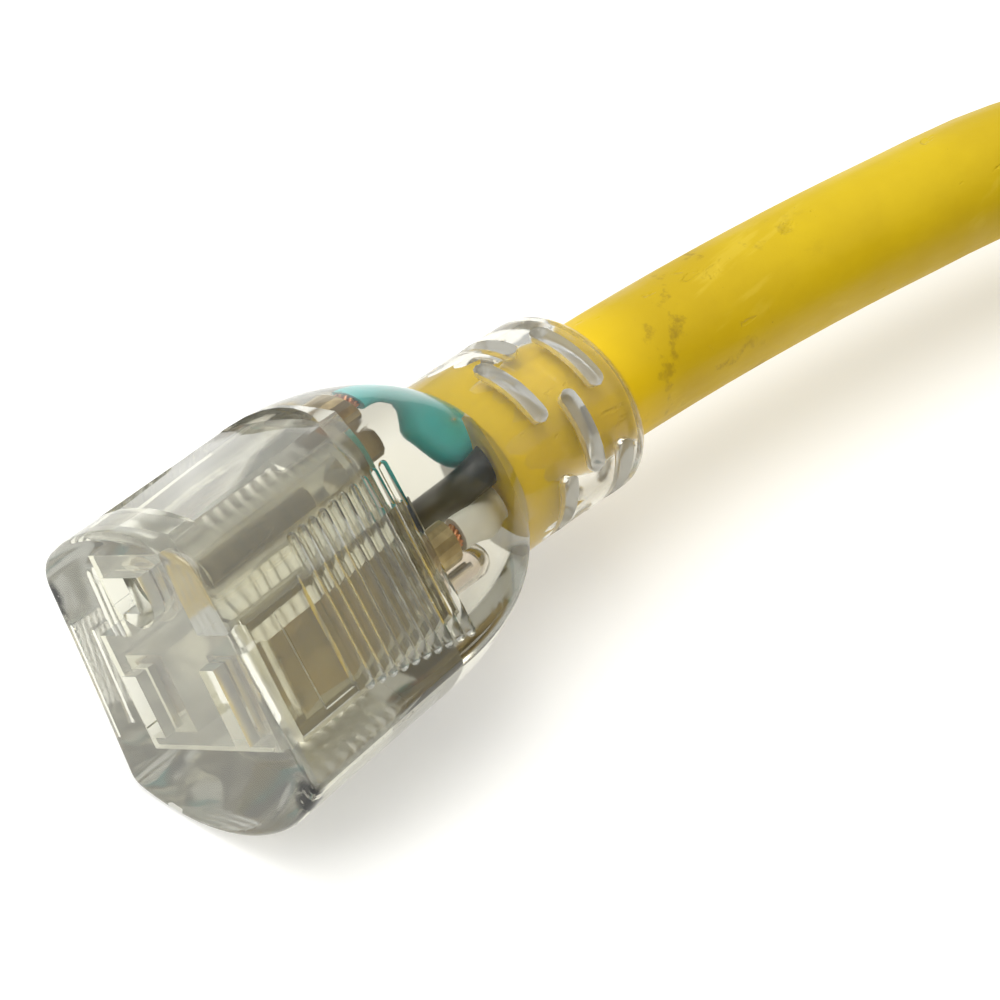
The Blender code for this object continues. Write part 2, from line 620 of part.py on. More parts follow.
def grip_side(body, side, parent):
    """Vertical grip ribs on one side, and a shallow panel in front of them."""
    rib_y0, pitch, ribs, depth = 10.8 * MM, 1.5 * MM, 10, 0.8 * MM
    low, high = -8.6 * MM, 9.6 * MM
    lean = math.atan2(BOTTOM_HALF_W - TOP_HALF_W, TOP_CORNER_Z - BOTTOM_CORNER_Z)
    widening = (BOTTOM_HALF_W - TOP_HALF_W) / (TOP_CORNER_Z - BOTTOM_CORNER_Z)
    surface_x = (TOP_HALF_W + widening * TOP_CORNER_Z) * math.cos(lean) - 0.1 * MM
    outline = [(surface_x + 3 * MM, rib_y0 - pitch)]
    for i in range(ribs):
        y = rib_y0 + pitch * i
        skin = surface_x - DRAFT * surface_x * y / SHOULDER_Y - max(0.0, y - SHOULDER_Y) * 0.04
        outline += [(skin, y), (skin - depth, y + pitch * 0.32), (skin - depth, y + pitch * 0.62),
                    (skin, y + pitch * 0.94)]
    outline += [(surface_x + 3 * MM, rib_y0 + pitch * (ribs + 1))]
    outline = [(side * x, y) for x, y in outline]
    tilt = Matrix.Rotation(-side * lean, 4, "Y")
    comb = plate(f"grip_cutter_{'right' if side > 0 else 'left'}", [outline], (high - low) / 2,
                 tilt @ at(0, 0, (low + high) / 2, SEEN_FROM_ABOVE), parent, cutter=True)
    cut(body, comb)
    panel = [(side * (surface_x - 0.5 * MM), 2.0 * MM), (side * (surface_x + 3 * MM), 2.0 * MM),
             (side * (surface_x + 3 * MM), 9.4 * MM), (side * (surface_x - 0.7 * MM), 9.4 * MM)]
    pocket = plate(f"side_panel_cutter_{'right' if side > 0 else 'left'}", [panel], 6.4 * MM,
                   tilt @ at(0, 0, -0.6 * MM, SEEN_FROM_ABOVE), parent, cutter=True)
    cut(body, pocket)


def make_connector(frame):
    body = moulded_body("connector_overmold", CONNECTOR_OUTLINE, SHOULDER_Y, DOME_END_Y, BOOT_END_Y,
                        bend_in_body, frame)
    # outside: thumb pocket on the crown, ribbed grips on both sides, slots in the boot
    pocket = box("thumb_pocket_cutter", (-8.2 * MM, 5.0 * MM, 15.7 * MM), (8.2 * MM, 25.0 * MM, 25 * MM),
                 frame, cutter=True)
    cut(body, pocket)
    for side in (-1, 1):
        grip_side(body, side, frame)
    strain_relief_slots(body, 36, {46.5: (45, 135, 225, 315), 50.5: (0, 90, 180, 270),
                                   54.5: (45, 135, 225, 315)}, bend_in_body, frame)
    # inside: the carrier's seat, the terminal chamber, the conductors' channels and the jacket's bore
    seat_y0, seat_y1 = FRONT_WALL, COVER_Y1 + GAP
    seat = plate("carrier_seat", [carrier_outline(GAP)], (seat_y1 - seat_y0) / 2,
                 at(0, (seat_y0 + seat_y1) / 2, 0, FACING_Y), frame, cutter=True)
    cut(body, seat)
    low = box("chamber_low", (-9.2 * MM, seat_y1 - 0.5 * MM, -9.1 * MM), (9.2 * MM, CHAMBER_Y1, 4.4 * MM),
              frame, cutter=True)
    high = box("chamber_high", (-3.0 * MM, seat_y1 - 0.4 * MM, 4.0 * MM), (3.0 * MM, CHAMBER_Y1, 13.0 * MM),
               frame, cutter=True)
    lamp_pocket = rod_y("chamber_lamp", (0, -6.9 * MM), 2.2 * MM, CHAMBER_Y1 - 1.0 * MM, 36.8 * MM, frame,
                        cutter=True)
    for cutter in (low, high, lamp_pocket):
        cut(body, cutter)
    for label, x, height in (("hot", HOT_X, HOT_BLADE_H), ("neutral", NEUTRAL_X, NEUTRAL_BLADE_H)):
        half_z = height / 2 + 0.35 * MM
        slot = box("face_slot_" + label, (x - 1.1 * MM, -1.0 * MM, BLADE_LINE - half_z),
                   (x + 1.1 * MM, FRONT_WALL + 0.1 * MM, BLADE_LINE + half_z), frame, cutter=True)
        cut(body, slot)
    reach = (FRONT_WALL + 1.2 * MM) / 2
    ground = plate("face_hole_ground", [ground_opening(5.8 * MM, 5.6 * MM)], reach,
                   at(0, reach - 1.0 * MM, GROUND_Z, FACING_Y), frame, cutter=True)
    cut(body, ground)

    contact_carrier(frame)
    carrier_cover(frame)
    blade_contact("hot_contact", HOT_X, 6.8 * MM, frame)
    blade_contact("neutral_contact", NEUTRAL_X, 8.2 * MM, frame)
    ground_contact(frame)
    places = {"black": (HOT_X, BLADE_LINE), "white": (NEUTRAL_X, BLADE_LINE), "green": (0, GROUND_Z)}
    wires = terminal_wires("", places, JACKET_END_Y, BARREL_Y1, bend_in_body(JACKET_END_Y), frame,
                           CROSSING_WAYS)
    for label in places:
        cut(body, wires[label + "_cutter"])
    bore_ys = [JACKET_END_Y - 0.35 * MM, 44 * MM, 49 * MM, 54 * MM, BOOT_END_Y + 1.0 * MM]
    bore = tube("jacket_bore", [Vector((0, y, 0)) + bend_in_body(y) for y in bore_ys], CORD_R + GAP, frame,
                cutter=True, resolution=6)
    cut(body, bore)
    lamp(frame)


# ---------------------------------------------------------------- pieces of the plug

def plug_blade(name, x, width, parent):
    """A flat blade with a chamfered tip and a latch hole, a tang behind it and a crimp barrel."""
    half, chamfer, tang = width / 2, 1.2 * MM, 2.0 * MM
    barrel_y0, barrel_y1 = 14.0 * MM, 19.5 * MM
    outline = [(-BLADE_OUT, -half + chamfer), (-BLADE_OUT, half - chamfer),
               (-BLADE_OUT + chamfer, half), (9.0 * MM, half), (10.5 * MM, tang), (barrel_y0 + 0.6 * MM, tang),
               (barrel_y0 + 0.6 * MM, -tang), (10.5 * MM, -tang), (9.0 * MM, -half),
               (-BLADE_OUT + chamfer, -half)]
    hole_y, hole_r, steps = -BLADE_OUT + 6.0 * MM, 1.7 * MM, 12
    hole = [(hole_y + hole_r * math.cos(2 * math.pi * i / steps), hole_r * math.sin(2 * math.pi * i / steps))
            for i in range(steps)]
    blade = plate(name, [outline, hole], BLADE_T / 2, at(x, 0, BLADE_LINE, SEEN_FROM_SIDE), parent,
                  NICKEL_BRASS)
    add_barrel(blade, (x, BLADE_LINE), barrel_y0, barrel_y1, parent)
    return blade


def plug_ground_pin(parent):
    """A round pin with a domed tip and a crimp barrel, as one turned piece."""
    radius, tip = GROUND_PIN_D / 2, -GROUND_PIN_OUT
    barrel_y1 = 19.5 * MM
    profile = [(0.0, barrel_y1 - 4.5 * MM), (BARREL_BORE_R, barrel_y1 - 4.5 * MM),
               (BARREL_BORE_R, barrel_y1), (radius, barrel_y1)]
    profile += [(radius * math.cos(math.radians(t)), tip + radius - radius * math.sin(math.radians(t)))
                for t in (0, 30, 60, 90)]
    mesh = bpy.data.meshes.new("plug_ground_pin")
    mesh.from_pydata([(r, 0, y) for r, y in profile], [(i, i + 1) for i in range(len(profile) - 1)], [])
    pin = finish_object("plug_ground_pin", mesh, parent, NICKEL_BRASS)
    pin.matrix_local = Matrix.Translation((0, 0, GROUND_Z)) @ Matrix.Rotation(math.radians(-90), 4, "X")
    turned = pin.modifiers.new("turned", "SCREW")
    turned.steps = turned.render_steps = 16
    turned.use_merge_vertices = True
    turned.merge_threshold = 0.00001
    return pin


def straight(y):
    """The plug's cord leaves along its axis."""
    return Vector((0, 0, 0))


def make_plug(frame):
    body = moulded_body("plug_overmold", PLUG_OUTLINE, PLUG_SHOULDER_Y, PLUG_DOME_END_Y, PLUG_BOOT_END_Y,
                        straight, frame)
    strain_relief_slots(body, 36, {37.5: (45, 135, 225, 315), 41.5: (0, 90, 180, 270),
                                   45.5: (45, 135, 225, 315)}, straight, frame)
    bridge_low, bridge_high, bridge_half = -7.2 * MM, 14.0 * MM, 10.4 * MM
    seat = box("bridge_seat", (-bridge_half - GAP, BRIDGE_Y0 - GAP, bridge_low - GAP),
               (bridge_half + GAP, BRIDGE_Y1 + GAP, bridge_high + GAP), frame, cutter=True)
    chamber = box("plug_chamber", (-9.2 * MM, BRIDGE_Y1 - 0.5 * MM, -7.0 * MM),
                  (9.2 * MM, 20.8 * MM, 13.2 * MM), frame, cutter=True)
    cut(body, seat)
    cut(body, chamber)
    bridge = box("plug_blade_bridge", (-bridge_half, BRIDGE_Y0, bridge_low),
                 (bridge_half, BRIDGE_Y1, bridge_high), frame, CLEAR_RIGID)
    for label, x, width in (("hot", HOT_X, HOT_BLADE_H), ("neutral", NEUTRAL_X, NEUTRAL_BLADE_H)):
        plug_blade(f"plug_{label}_blade", x, width, frame)
        half_x, half_z = BLADE_T / 2 + GAP, width / 2 + GAP
        way = box(f"plug_{label}_way", (x - half_x, -1.0 * MM, BLADE_LINE - half_z),
                  (x + half_x, BRIDGE_Y1 + 1.0 * MM, BLADE_LINE + half_z), frame, cutter=True)
        cut(bridge, way)
        cut(body, way)
    plug_ground_pin(frame)
    way = rod_y("plug_ground_way", (0, GROUND_Z), GROUND_PIN_D / 2 + GAP, -1.0 * MM, BRIDGE_Y1 + 1.0 * MM,
                frame, cutter=True)
    cut(bridge, way)
    cut(body, way)
    places = {"black": (HOT_X, BLADE_LINE), "white": (NEUTRAL_X, BLADE_LINE), "green": (0, GROUND_Z)}
    wires = terminal_wires("plug_", places, PLUG_JACKET_END_Y, 19.5 * MM, Vector((0, 0, 0)), frame)
    for label in places:
        cut(body, wires[label + "_cutter"])
    bore = rod_y("plug_jacket_bore", (0, 0), CORD_R + GAP, PLUG_JACKET_END_Y - 0.35 * MM,
                 PLUG_BOOT_END_Y + 1.0 * MM, frame, cutter=True, sides=20)
    cut(body, bore)


# ---------------------------------------------------------------- cord, coil and straps

def make_coil(centre):
    """The outer shape of the wound cord: a turned ring with rounded edges."""
    edge = CORD_R * 0.6
    half = COIL_HALF_W
    corners = [(half, COIL_Z1), (half, COIL_Z0), (-half, COIL_Z0), (-half, COIL_Z1)]
    section = round_corners(corners, {i: edge for i in range(4)}, steps=2)
    mesh = bpy.data.meshes.new("cord_coil")
    count = len(section)
    edges = [(i, (i + 1) % count) for i in range(count)]
    mesh.from_pydata([(COIL_MID_R + x, 0, z) for x, z in section], edges, [])
    coil = finish_object("cord_coil", mesh, None, YELLOW_JACKET)
    coil.location = (centre.x, centre.y, 0)
    turned = coil.modifiers.new("turned", "SCREW")
    turned.steps = turned.render_steps = 48
    turned.use_merge_vertices = True
    turned.merge_threshold = 0.00001


def make_straps(centre):
    """Hook-and-loop straps round the coil's section."""
    out_x = COIL_HALF_W + GAP
    # the strap is flat across its width, so on the inside it stands off the ring's curve
    in_x = -(COIL_HALF_W + GAP + (STRAP_W / 2) ** 2 / (COIL_MID_R - COIL_HALF_W))
    for name, degrees in STRAP_ANGLES.items():
        inner = [(out_x, COIL_Z1 + GAP), (out_x, COIL_Z0 - GAP),
                 (in_x, COIL_Z0 - GAP), (in_x, COIL_Z1 + GAP)]
        outer = [(x + math.copysign(STRAP_T, x), z + (STRAP_T if z > COIL_Z0 else -STRAP_T))
                 for x, z in inner]
        outer = round_corners(outer, {i: 3.0 * MM for i in range(4)}, steps=2)
        inner = round_corners(inner, {i: 1.4 * MM for i in range(4)}, steps=2)
        turn = Matrix.Rotation(math.radians(degrees), 4, "Z")
        place = Matrix.Translation((centre.x, centre.y, 0)) @ turn @ at(COIL_MID_R, 0, 0, FACING_Y)
        plate(name, [outer, inner], STRAP_W / 2, place, None, STRAP_FABRIC)


def make_connector_lead(to_world):
    """The free cord from inside the connector to the coil."""
    axis_z = to_world(0, 0)[2]
    floor_z = CORD_R + 0.05 * MM
    route = [(bend(y * MM) / MM, y, axis_z / MM) for y in (40.5, 48, 58, 74, 90, 104, 118)]
    route += [(20.5, 135, 16.2), (31, 152, 13.0), (44, 167.5, 9.8), (58.7, 181.4, 8.8), (76, 195, 9.2),
              (91, 206.5, 9.4)]
    points = []
    for x, y, z in route:
        place = to_world(x * MM, y * MM)
        points.append((place.x, place.y, max(z * MM, floor_z)))
    tube("cord_jacket", smooth_route(points, 2.2 * CORD_D / 2), CORD_R, None, YELLOW_JACKET, resolution=4)


def make_plug_lead(to_world, plug_axis_z):
    """The cord's other end: round the coil's top, over a strap and into the plug."""
    top_z = COIL_Z1 + GAP + CORD_R
    turn = [(144, 85.0, 0.0), (124, 84.0, 0.0), (104, 83.0, 0.03), (86, 82.5, 0.15), (70, 82.5, 0.45),
            (52, 82.6, 0.7), (36, 82.9, 0.92), (22, 83.2, 1.0), (9, 83.2, 1.0)]
    route = []
    for angle, r, rise in turn:
        theta = math.radians(angle)
        route.append((COIL_X + r * MM * math.cos(theta), COIL_Y + r * MM * math.sin(theta), rise))
    route += [(PLUG_X, PLUG_FACE_Y + y * MM, 1.0) for y in (46, 38, 30)]
    points = []
    for x, y, rise in route:
        place = to_world(x, y)
        points.append((place.x, place.y, top_z + (plug_axis_z - top_z) * rise))
    tube("cord_jacket_plug_end", smooth_route(points, 2.2 * CORD_D / 2), CORD_R, None, YELLOW_JACKET,
         resolution=4)


def main():
    sine, cosine = math.sin(BODY_ROLL), math.cos(BODY_ROLL)
    across = [x * cosine - z * sine for x, z in CONNECTOR_OUTLINE]
    upwards = [x * sine + z * cosine for x, z in CONNECTOR_OUTLINE]
    axis_x, axis_z = -(max(across) + min(across)) / 2, -min(upwards)

    def to_world(x, y):
        """From the connector's axis and face to the world, at the axis's height."""
        return Vector((x + axis_x, y - LENGTH_MIDDLE_Y, axis_z))

    connector_frame = bpy.data.objects.new("connector_frame", None)
    PARTS.objects.link(connector_frame)
    connector_frame.location = to_world(0, 0)
    connector_frame.rotation_euler = (0, -BODY_ROLL, 0)
    make_connector(connector_frame)

    plug_axis_z = COIL_Z1 + GAP + PLUG_HALF_W
    plug_frame = bpy.data.objects.new("plug_frame", None)
    PARTS.objects.link(plug_frame)
    plug_frame.location = (*to_world(PLUG_X, PLUG_FACE_Y)[:2], plug_axis_z)
    plug_frame.rotation_euler = (0, -math.pi / 2, 0)
    make_plug(plug_frame)

    centre = to_world(COIL_X, COIL_Y)
    make_coil(centre)
    make_straps(centre)
    make_connector_lead(to_world)
    make_plug_lead(to_world, plug_axis_z)


main()
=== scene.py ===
"""Looks of the shore power cord: clear moulded ends, brass contacts, coloured conductors, yellow jacket.

Metres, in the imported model's frame.  Each moulded end is built in a frame of its own, as in the CAD: X across
the face, Y from the face towards the cord, Z from the blades towards the ground pin.
"""

import json
import math

import bpy
import bmesh
from mathutils import Matrix, Vector


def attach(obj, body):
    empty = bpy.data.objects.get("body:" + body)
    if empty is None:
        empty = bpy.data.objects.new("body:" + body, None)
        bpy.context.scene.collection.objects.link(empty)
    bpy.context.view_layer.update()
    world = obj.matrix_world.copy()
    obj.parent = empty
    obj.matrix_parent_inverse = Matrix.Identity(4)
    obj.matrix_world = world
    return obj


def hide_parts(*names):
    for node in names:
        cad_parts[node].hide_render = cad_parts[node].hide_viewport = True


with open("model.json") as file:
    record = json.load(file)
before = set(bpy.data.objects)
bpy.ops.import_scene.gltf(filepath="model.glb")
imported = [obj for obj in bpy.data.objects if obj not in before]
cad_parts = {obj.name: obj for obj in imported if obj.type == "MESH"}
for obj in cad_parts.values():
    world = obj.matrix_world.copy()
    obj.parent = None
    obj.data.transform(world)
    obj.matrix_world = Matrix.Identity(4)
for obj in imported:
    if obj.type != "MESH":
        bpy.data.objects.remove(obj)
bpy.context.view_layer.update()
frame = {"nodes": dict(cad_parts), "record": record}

MM = 0.001
GAP = 0.3 * MM

# ---- Cord ----
CORD_D = 14.2 * MM
CORD_R = CORD_D / 2
WIRE_R = 1.8 * MM
WIRE_OFFSET = 2.9 * MM
END_LEAN = 0.4 * MM
STRANDS_R = 1.35 * MM
WIRE_ANGLES = {"green": 80, "black": 200, "white": 320}
# in the connector: angle in the jacket, lead-out along Y, a point on the way, run-in along Y
CROSSING_WAYS = {
    "green": (102, 2.6 * MM, (-0.2 * MM, 36.0 * MM, 7.4 * MM), 4.0 * MM),
    "black": (18, 4.4 * MM, (2.6 * MM, 34.4 * MM, 0.4 * MM), 5.2 * MM),
    "white": (280, 2.4 * MM, (3.2 * MM, 36.5 * MM, -4.6 * MM), 4.5 * MM),
}

# ---- Contacts' pattern ----
BLADE_LINE = -1.8 * MM
GROUND_Z = 10.1 * MM
HOT_X, NEUTRAL_X = -6.35 * MM, 6.35 * MM
HOT_SLOT_H, NEUTRAL_SLOT_H, SLOT_W = 7.0 * MM, 8.6 * MM, 2.2 * MM
GROUND_OPENING_W, GROUND_OPENING_H = 5.8 * MM, 5.6 * MM

# ---- Connector body, as in the CAD ----
TOP_HALF_W = 12.3 * MM
TOP_CORNER_Z = 14.05 * MM
CROWN_Z = 17.7 * MM
BOTTOM_HALF_W = 14.4 * MM
BOTTOM_CORNER_Z = -10.85 * MM
BELLY_Z = -16.8 * MM
FACE_ROUND = 0.9 * MM
DRAFT = 0.03
SHOULDER_Y = 22.3 * MM
DOME_END_Y = 40.2 * MM
DOME_SHARE = 0.81
BOOT_R = 10.4 * MM
BOOT_END_Y = 58.0 * MM
BOOT_ROUND = 1.6 * MM
BODY_ROLL = math.radians(30.7)
FRONT_WALL = 3.2 * MM
# dark scuffs at the face's corners: X, Z and reach in mm
FACE_SCUFFS = ((-12.3, 11.0, 2.4), (-12.6, 9.0, 1.9), (12.0, -12.6, 2.4), (12.9, -11.0, 2.0))
JACKET_END_Y = 40.5 * MM
BARREL_Y1 = 30.5 * MM
CARRIER_Y1 = 24.5 * MM
COVER_Y1 = CARRIER_Y1 + GAP + 1.8 * MM
BEND_START_Y = 22.0 * MM
BEND_RATE = 0.00145 / MM

# ---- Plug body, as in the CAD ----
PLUG_HALF_W = 13.4 * MM
PLUG_SHOULDER_Y = 15.0 * MM
PLUG_DOME_END_Y = 31.0 * MM
PLUG_BOOT_END_Y = 49.0 * MM
PLUG_JACKET_END_Y = 30.0 * MM
PLUG_BARREL_Y1 = 19.5 * MM
PLUG_ROLL = math.radians(90)
BRIDGE_Y0, BRIDGE_Y1 = 2.0 * MM, 11.0 * MM

# ---- Coil, as in the CAD ----
TURNS_ACROSS = TURNS_HIGH = 4
COIL_MID_R = 82.5 * MM
COIL_Z0 = 2.3 * MM
COIL_Z1 = COIL_Z0 + TURNS_HIGH * CORD_D
COIL_X, COIL_Y = 164.0 * MM, 113.0 * MM
PLUG_X = COIL_X + 83.2 * MM
PLUG_FACE_Y = 64.0 * MM


def mount_point(name):
    return Vector(next(m for m in frame["record"]["mounts"] if m["name"] == name)["pos_m"])


FACE_POINT = mount_point("mating_face")
CONNECTOR = Matrix.Translation(FACE_POINT) @ Matrix.Rotation(-BODY_ROLL, 4, "Y")
PLUG = Matrix.Translation(mount_point("plug_face")) @ Matrix.Rotation(-PLUG_ROLL, 4, "Y")


def to_world(x, y, z=0.0):
    """From the connector's axis and face to the world; z is a height above the floor."""
    return Vector((FACE_POINT.x + x, FACE_POINT.y + y, z))


# ---------------------------------------------------------------- camera, floor and light

def make_camera():
    """A long lens, high in front of the connector and on its right."""
    data = bpy.data.cameras.new("camera")
    data.lens = 159.3
    data.sensor_width = 36.0
    data.clip_start = 0.01
    camera = bpy.data.objects.new("camera", data)
    bpy.context.scene.collection.objects.link(camera)
    look = Vector((-0.4778, 0.5784, -0.6611))
    camera.location = FACE_POINT + Vector((218.5, -215.8, 293.8)) * MM
    camera.rotation_euler = look.to_track_quat("-Z", "Y").to_euler()
    bpy.context.scene.camera = camera


def area_light(name, place, target, size, power, colour=(1, 1, 1)):
    """A rectangular light at a place, turned towards its target."""
    data = bpy.data.lights.new(name, "AREA")
    data.shape = "RECTANGLE"
    data.size, data.size_y = size
    data.energy = power
    data.color = colour
    light = bpy.data.objects.new(name, data)
    bpy.context.scene.collection.objects.link(light)
    light.location = place
    light.rotation_euler = (Vector(target) - Vector(place)).to_track_quat("-Z", "Y").to_euler()


def make_studio():
    """Even sky light, a broad soft light overhead and a weak one on the front."""
    world = bpy.data.worlds.new("studio")
    bpy.context.scene.world = world
    world.use_nodes = True
    background = world.node_tree.nodes["Background"]
    background.inputs["Color"].default_value = (0.96, 0.98, 1.0, 1)
    background.inputs["Strength"].default_value = 0.62
    area_light("key_light", (-0.1, -0.15, 0.8), (0.02, 0.02, 0.0), (0.8, 0.8), 6.5, (1.0, 0.985, 0.95))
    area_light("front_light", (-0.25, -0.6, 0.35), (0.0, 0.0, 0.01), (0.35, 0.2), 1.4)
    scene = bpy.context.scene
    scene.view_settings.view_transform = "Standard"
    scene.cycles.max_bounces = scene.cycles.transmission_bounces = 40
    scene.cycles.glossy_bounces = 12


def make_floor():
    """A plain pale floor that gives off a little light, so that it stays near white."""
    bm = bmesh.new()
    bmesh.ops.create_grid(bm, x_segments=8, y_segments=8, size=1.6)
    mesh = bpy.data.meshes.new("floor")
    bm.to_mesh(mesh)
    bm.free()
    floor = bpy.data.objects.new("floor", mesh)
    bpy.context.scene.collection.objects.link(floor)
    tint = Material("pale_floor")
    tint.set(Roughness=0.7)
    tint.set(Emission_Color=(1.0, 0.995, 0.98, 1.0), Emission_Strength=0.36)
    tint.mix_base((0.70, 0.70, 0.69), (0.68, 0.68, 0.67), tint.noise(9.0, 3.0))
    mesh.materials.append(tint.made)


# ---------------------------------------------------------------- material helper

class Material:
    """A Principled material whose colour, roughness and bump are built up from noise in object space."""

    def __init__(self, name):
        self.made = bpy.data.materials.new(name)
        self.made.use_nodes = True
        self.tree = self.made.node_tree
        self.shader = self.tree.nodes["Principled BSDF"]
        self.place = self.node("ShaderNodeTexCoord").outputs["Object"]

    def node(self, kind, **values):
        made = self.tree.nodes.new(kind)
        for name, value in values.items():
            made.inputs[name.replace("_", " ")].default_value = value
        return made

    def link(self, source, target):
        self.tree.links.new(source, target)

    def set(self, **values):
        for name, value in values.items():
            self.shader.inputs[name.replace("_", " ")].default_value = value

    def scaled(self, stretch):
        """Object coordinates stretched along the axes, for drawn or brushed marks."""
        mapping = self.node("ShaderNodeMapping", Scale=stretch)
        self.link(self.place, mapping.inputs["Vector"])
        return mapping.outputs["Vector"]

    def noise(self, scale, detail=4.0, stretch=None, rough=0.55):
        made = self.node("ShaderNodeTexNoise", Scale=scale, Detail=detail, Roughness=rough)
        self.link(self.scaled(stretch) if stretch else self.place, made.inputs["Vector"])
        return made.outputs["Fac"]

    def remap(self, value, low, high, to_low=0.0, to_high=1.0):
        made = self.node("ShaderNodeMapRange", From_Min=low, From_Max=high, To_Min=to_low, To_Max=to_high)
        made.interpolation_type = "SMOOTHSTEP"
        self.link(value, made.inputs["Value"])
        return made.outputs["Result"]

    def math(self, operation, a, b):
        made = self.tree.nodes.new("ShaderNodeMath")
        made.operation = operation
        for value, socket in ((a, made.inputs[0]), (b, made.inputs[1])):
            if isinstance(value, (int, float)):
                socket.default_value = value
            else:
                self.link(value, socket)
        return made.outputs["Value"]

    def mix(self, a, b, factor):
        """A colour between a and b, each a colour or a socket."""
        made = self.tree.nodes.new("ShaderNodeMix")
        made.data_type = "RGBA"
        for value, socket in ((a, made.inputs[6]), (b, made.inputs[7])):
            if isinstance(value, tuple):
                socket.default_value = (*value, 1.0)
            else:
                self.link(value, socket)
        self.link(factor, made.inputs[0])
        return made.outputs[2]

    def mix_base(self, a, b, factor):
        self.link(self.mix(a, b, factor), self.shader.inputs["Base Color"])

    def roughness(self, low, high, value):
        self.link(self.remap(value, 0.25, 0.75, low, high), self.shader.inputs["Roughness"])

    def bump(self, height, distance, strength=1.0):
        made = self.node("ShaderNodeBump", Strength=strength, Distance=distance)
        self.link(height, made.inputs["Height"])
        self.link(made.outputs["Normal"], self.shader.inputs["Normal"])

    def near(self, place, reach):
        """1 at a place in object space, falling to 0 at reach."""
        apart = self.node("ShaderNodeVectorMath")
        apart.operation = "DISTANCE"
        self.link(self.place, apart.inputs[0])
        apart.inputs[1].default_value = place
        return self.remap(apart.outputs["Value"], reach * 0.45, reach, 1.0, 0.0)


# ---------------------------------------------------------------- materials

def clear_vinyl(name, haze, ior, tints, scuffs=()):
    """Soft clear plastic, faintly grey-green in depth, with fine surface marks and dark scuffs at corners."""
    m = Material(name)
    m.set(IOR=ior, Transmission_Weight=1 - haze)
    tint = m.mix(*tints, m.noise(120.0, 3.0))
    if scuffs:
        grime = m.remap(m.noise(900.0, 8.0), 0.42, 0.47)
        marks = 0.0
        for place, reach in scuffs:
            marks = m.math("MAXIMUM", marks, m.math("MULTIPLY", m.near(place, reach), grime))
        tint = m.mix(tint, (0.004, 0.0035, 0.003), marks)
    m.link(tint, m.shader.inputs["Base Color"])
    scratches = m.remap(m.noise(260.0, 9.0, (1.0, 0.12, 2.2)), 0.60, 0.66)
    m.roughness(0.03, 0.10, m.noise(300.0, 6.0))
    m.bump(m.math("ADD", m.noise(170.0, 2.0), m.math("MULTIPLY", scratches, 0.25)), 0.00004, 0.5)
    depth = m.node("ShaderNodeVolumeAbsorption", Color=(0.55, 0.53, 0.42, 1.0), Density=22.0)
    m.link(depth.outputs["Volume"], m.tree.nodes["Material Output"].inputs["Volume"])
    return m.made


def clear_rigid():
    """Harder clear plastic of the inner blocks, with a fine mould texture."""
    m = Material("clear_rigid_plastic")
    m.set(IOR=1.30, Transmission_Weight=0.95)
    m.mix_base((0.82, 0.81, 0.76), (0.77, 0.76, 0.70), m.noise(200.0, 3.0))
    m.roughness(0.05, 0.13, m.noise(500.0, 5.0))
    m.bump(m.noise(420.0, 3.0, (1.0, 0.2, 1.0)), 0.00003, 0.5)
    return m.made


def yellow_jacket(boot_middle):
    """Thick vinyl jacket: uneven yellow, drawn lines along it, brown smudges, pale rubs and nicks.
    Inside the boot its yellow is painted brighter: painted light, standing in for the light that the clear boot
    holds back."""
    m = Material("yellow_jacket")
    base = m.mix((0.60, 0.43, 0.006), (0.49, 0.335, 0.005), m.remap(m.noise(34.0, 6.0), 0.35, 0.70))
    rubs = m.math("MULTIPLY", m.remap(m.noise(140.0, 7.0, (2.6, 0.35, 1.0)), 0.60, 0.68),
                  m.remap(m.noise(18.0, 2.0), 0.45, 0.60))
    base = m.mix(base, (0.66, 0.50, 0.05), m.math("MULTIPLY", rubs, 0.3))
    smudge = m.math("MULTIPLY", m.remap(m.noise(210.0, 9.0, rough=0.65), 0.56, 0.66),
                    m.remap(m.noise(30.0, 2.0), 0.50, 0.66))
    base = m.mix(base, (0.20, 0.125, 0.012), m.math("MULTIPLY", smudge, 0.55))
    specks = m.remap(m.noise(1500.0, 4.0, rough=0.7), 0.70, 0.76)
    base = m.mix(base, (0.10, 0.065, 0.01), m.math("MULTIPLY", specks, 0.6))
    # painted light: near the boot's middle the jacket is painted a brighter yellow, for light lost through the
    # clear vinyl
    painted_light_in_boot = m.near(boot_middle, 26.0 * MM)
    base = m.mix(base, (0.97, 0.67, 0.012), m.math("MULTIPLY", painted_light_in_boot, 0.85))
    m.link(base, m.shader.inputs["Base Color"])
    m.roughness(0.34, 0.56, m.noise(90.0, 6.0))
    m.set(Specular_IOR_Level=0.22)
    drawn = m.noise(420.0, 3.0, (1.0, 0.05, 1.0))
    peel = m.noise(900.0, 3.0)
    nicks = m.math("MULTIPLY", m.remap(m.noise(330.0, 4.0, (1.0, 0.5, 1.3)), 0.66, 0.72), -2.0)
    m.bump(m.math("ADD", m.math("ADD", drawn, m.math("MULTIPLY", peel, 0.6)), nicks), 0.00006, 0.8)
    return m.made


def metal(name, bright, dull, rough_low, rough_high, grain=(1.0, 0.08, 1.0)):
    m = Material(name)
    m.set(Metallic=1.0)
    m.mix_base(bright, dull, m.remap(m.noise(260.0, 7.0), 0.38, 0.66))
    m.roughness(rough_low, rough_high, m.noise(700.0, 5.0, grain))
    m.bump(m.noise(1400.0, 3.0, grain), 0.00002, 0.6)
    return m.made


def insulation(name, bright, dull):
    m = Material(name)
    m.mix_base(bright, dull, m.noise(240.0, 5.0))
    m.roughness(0.28, 0.46, m.noise(500.0, 5.0))
    m.bump(m.noise(800.0, 3.0, (1.0, 0.15, 1.0)), 0.00003, 0.7)
    return m.made


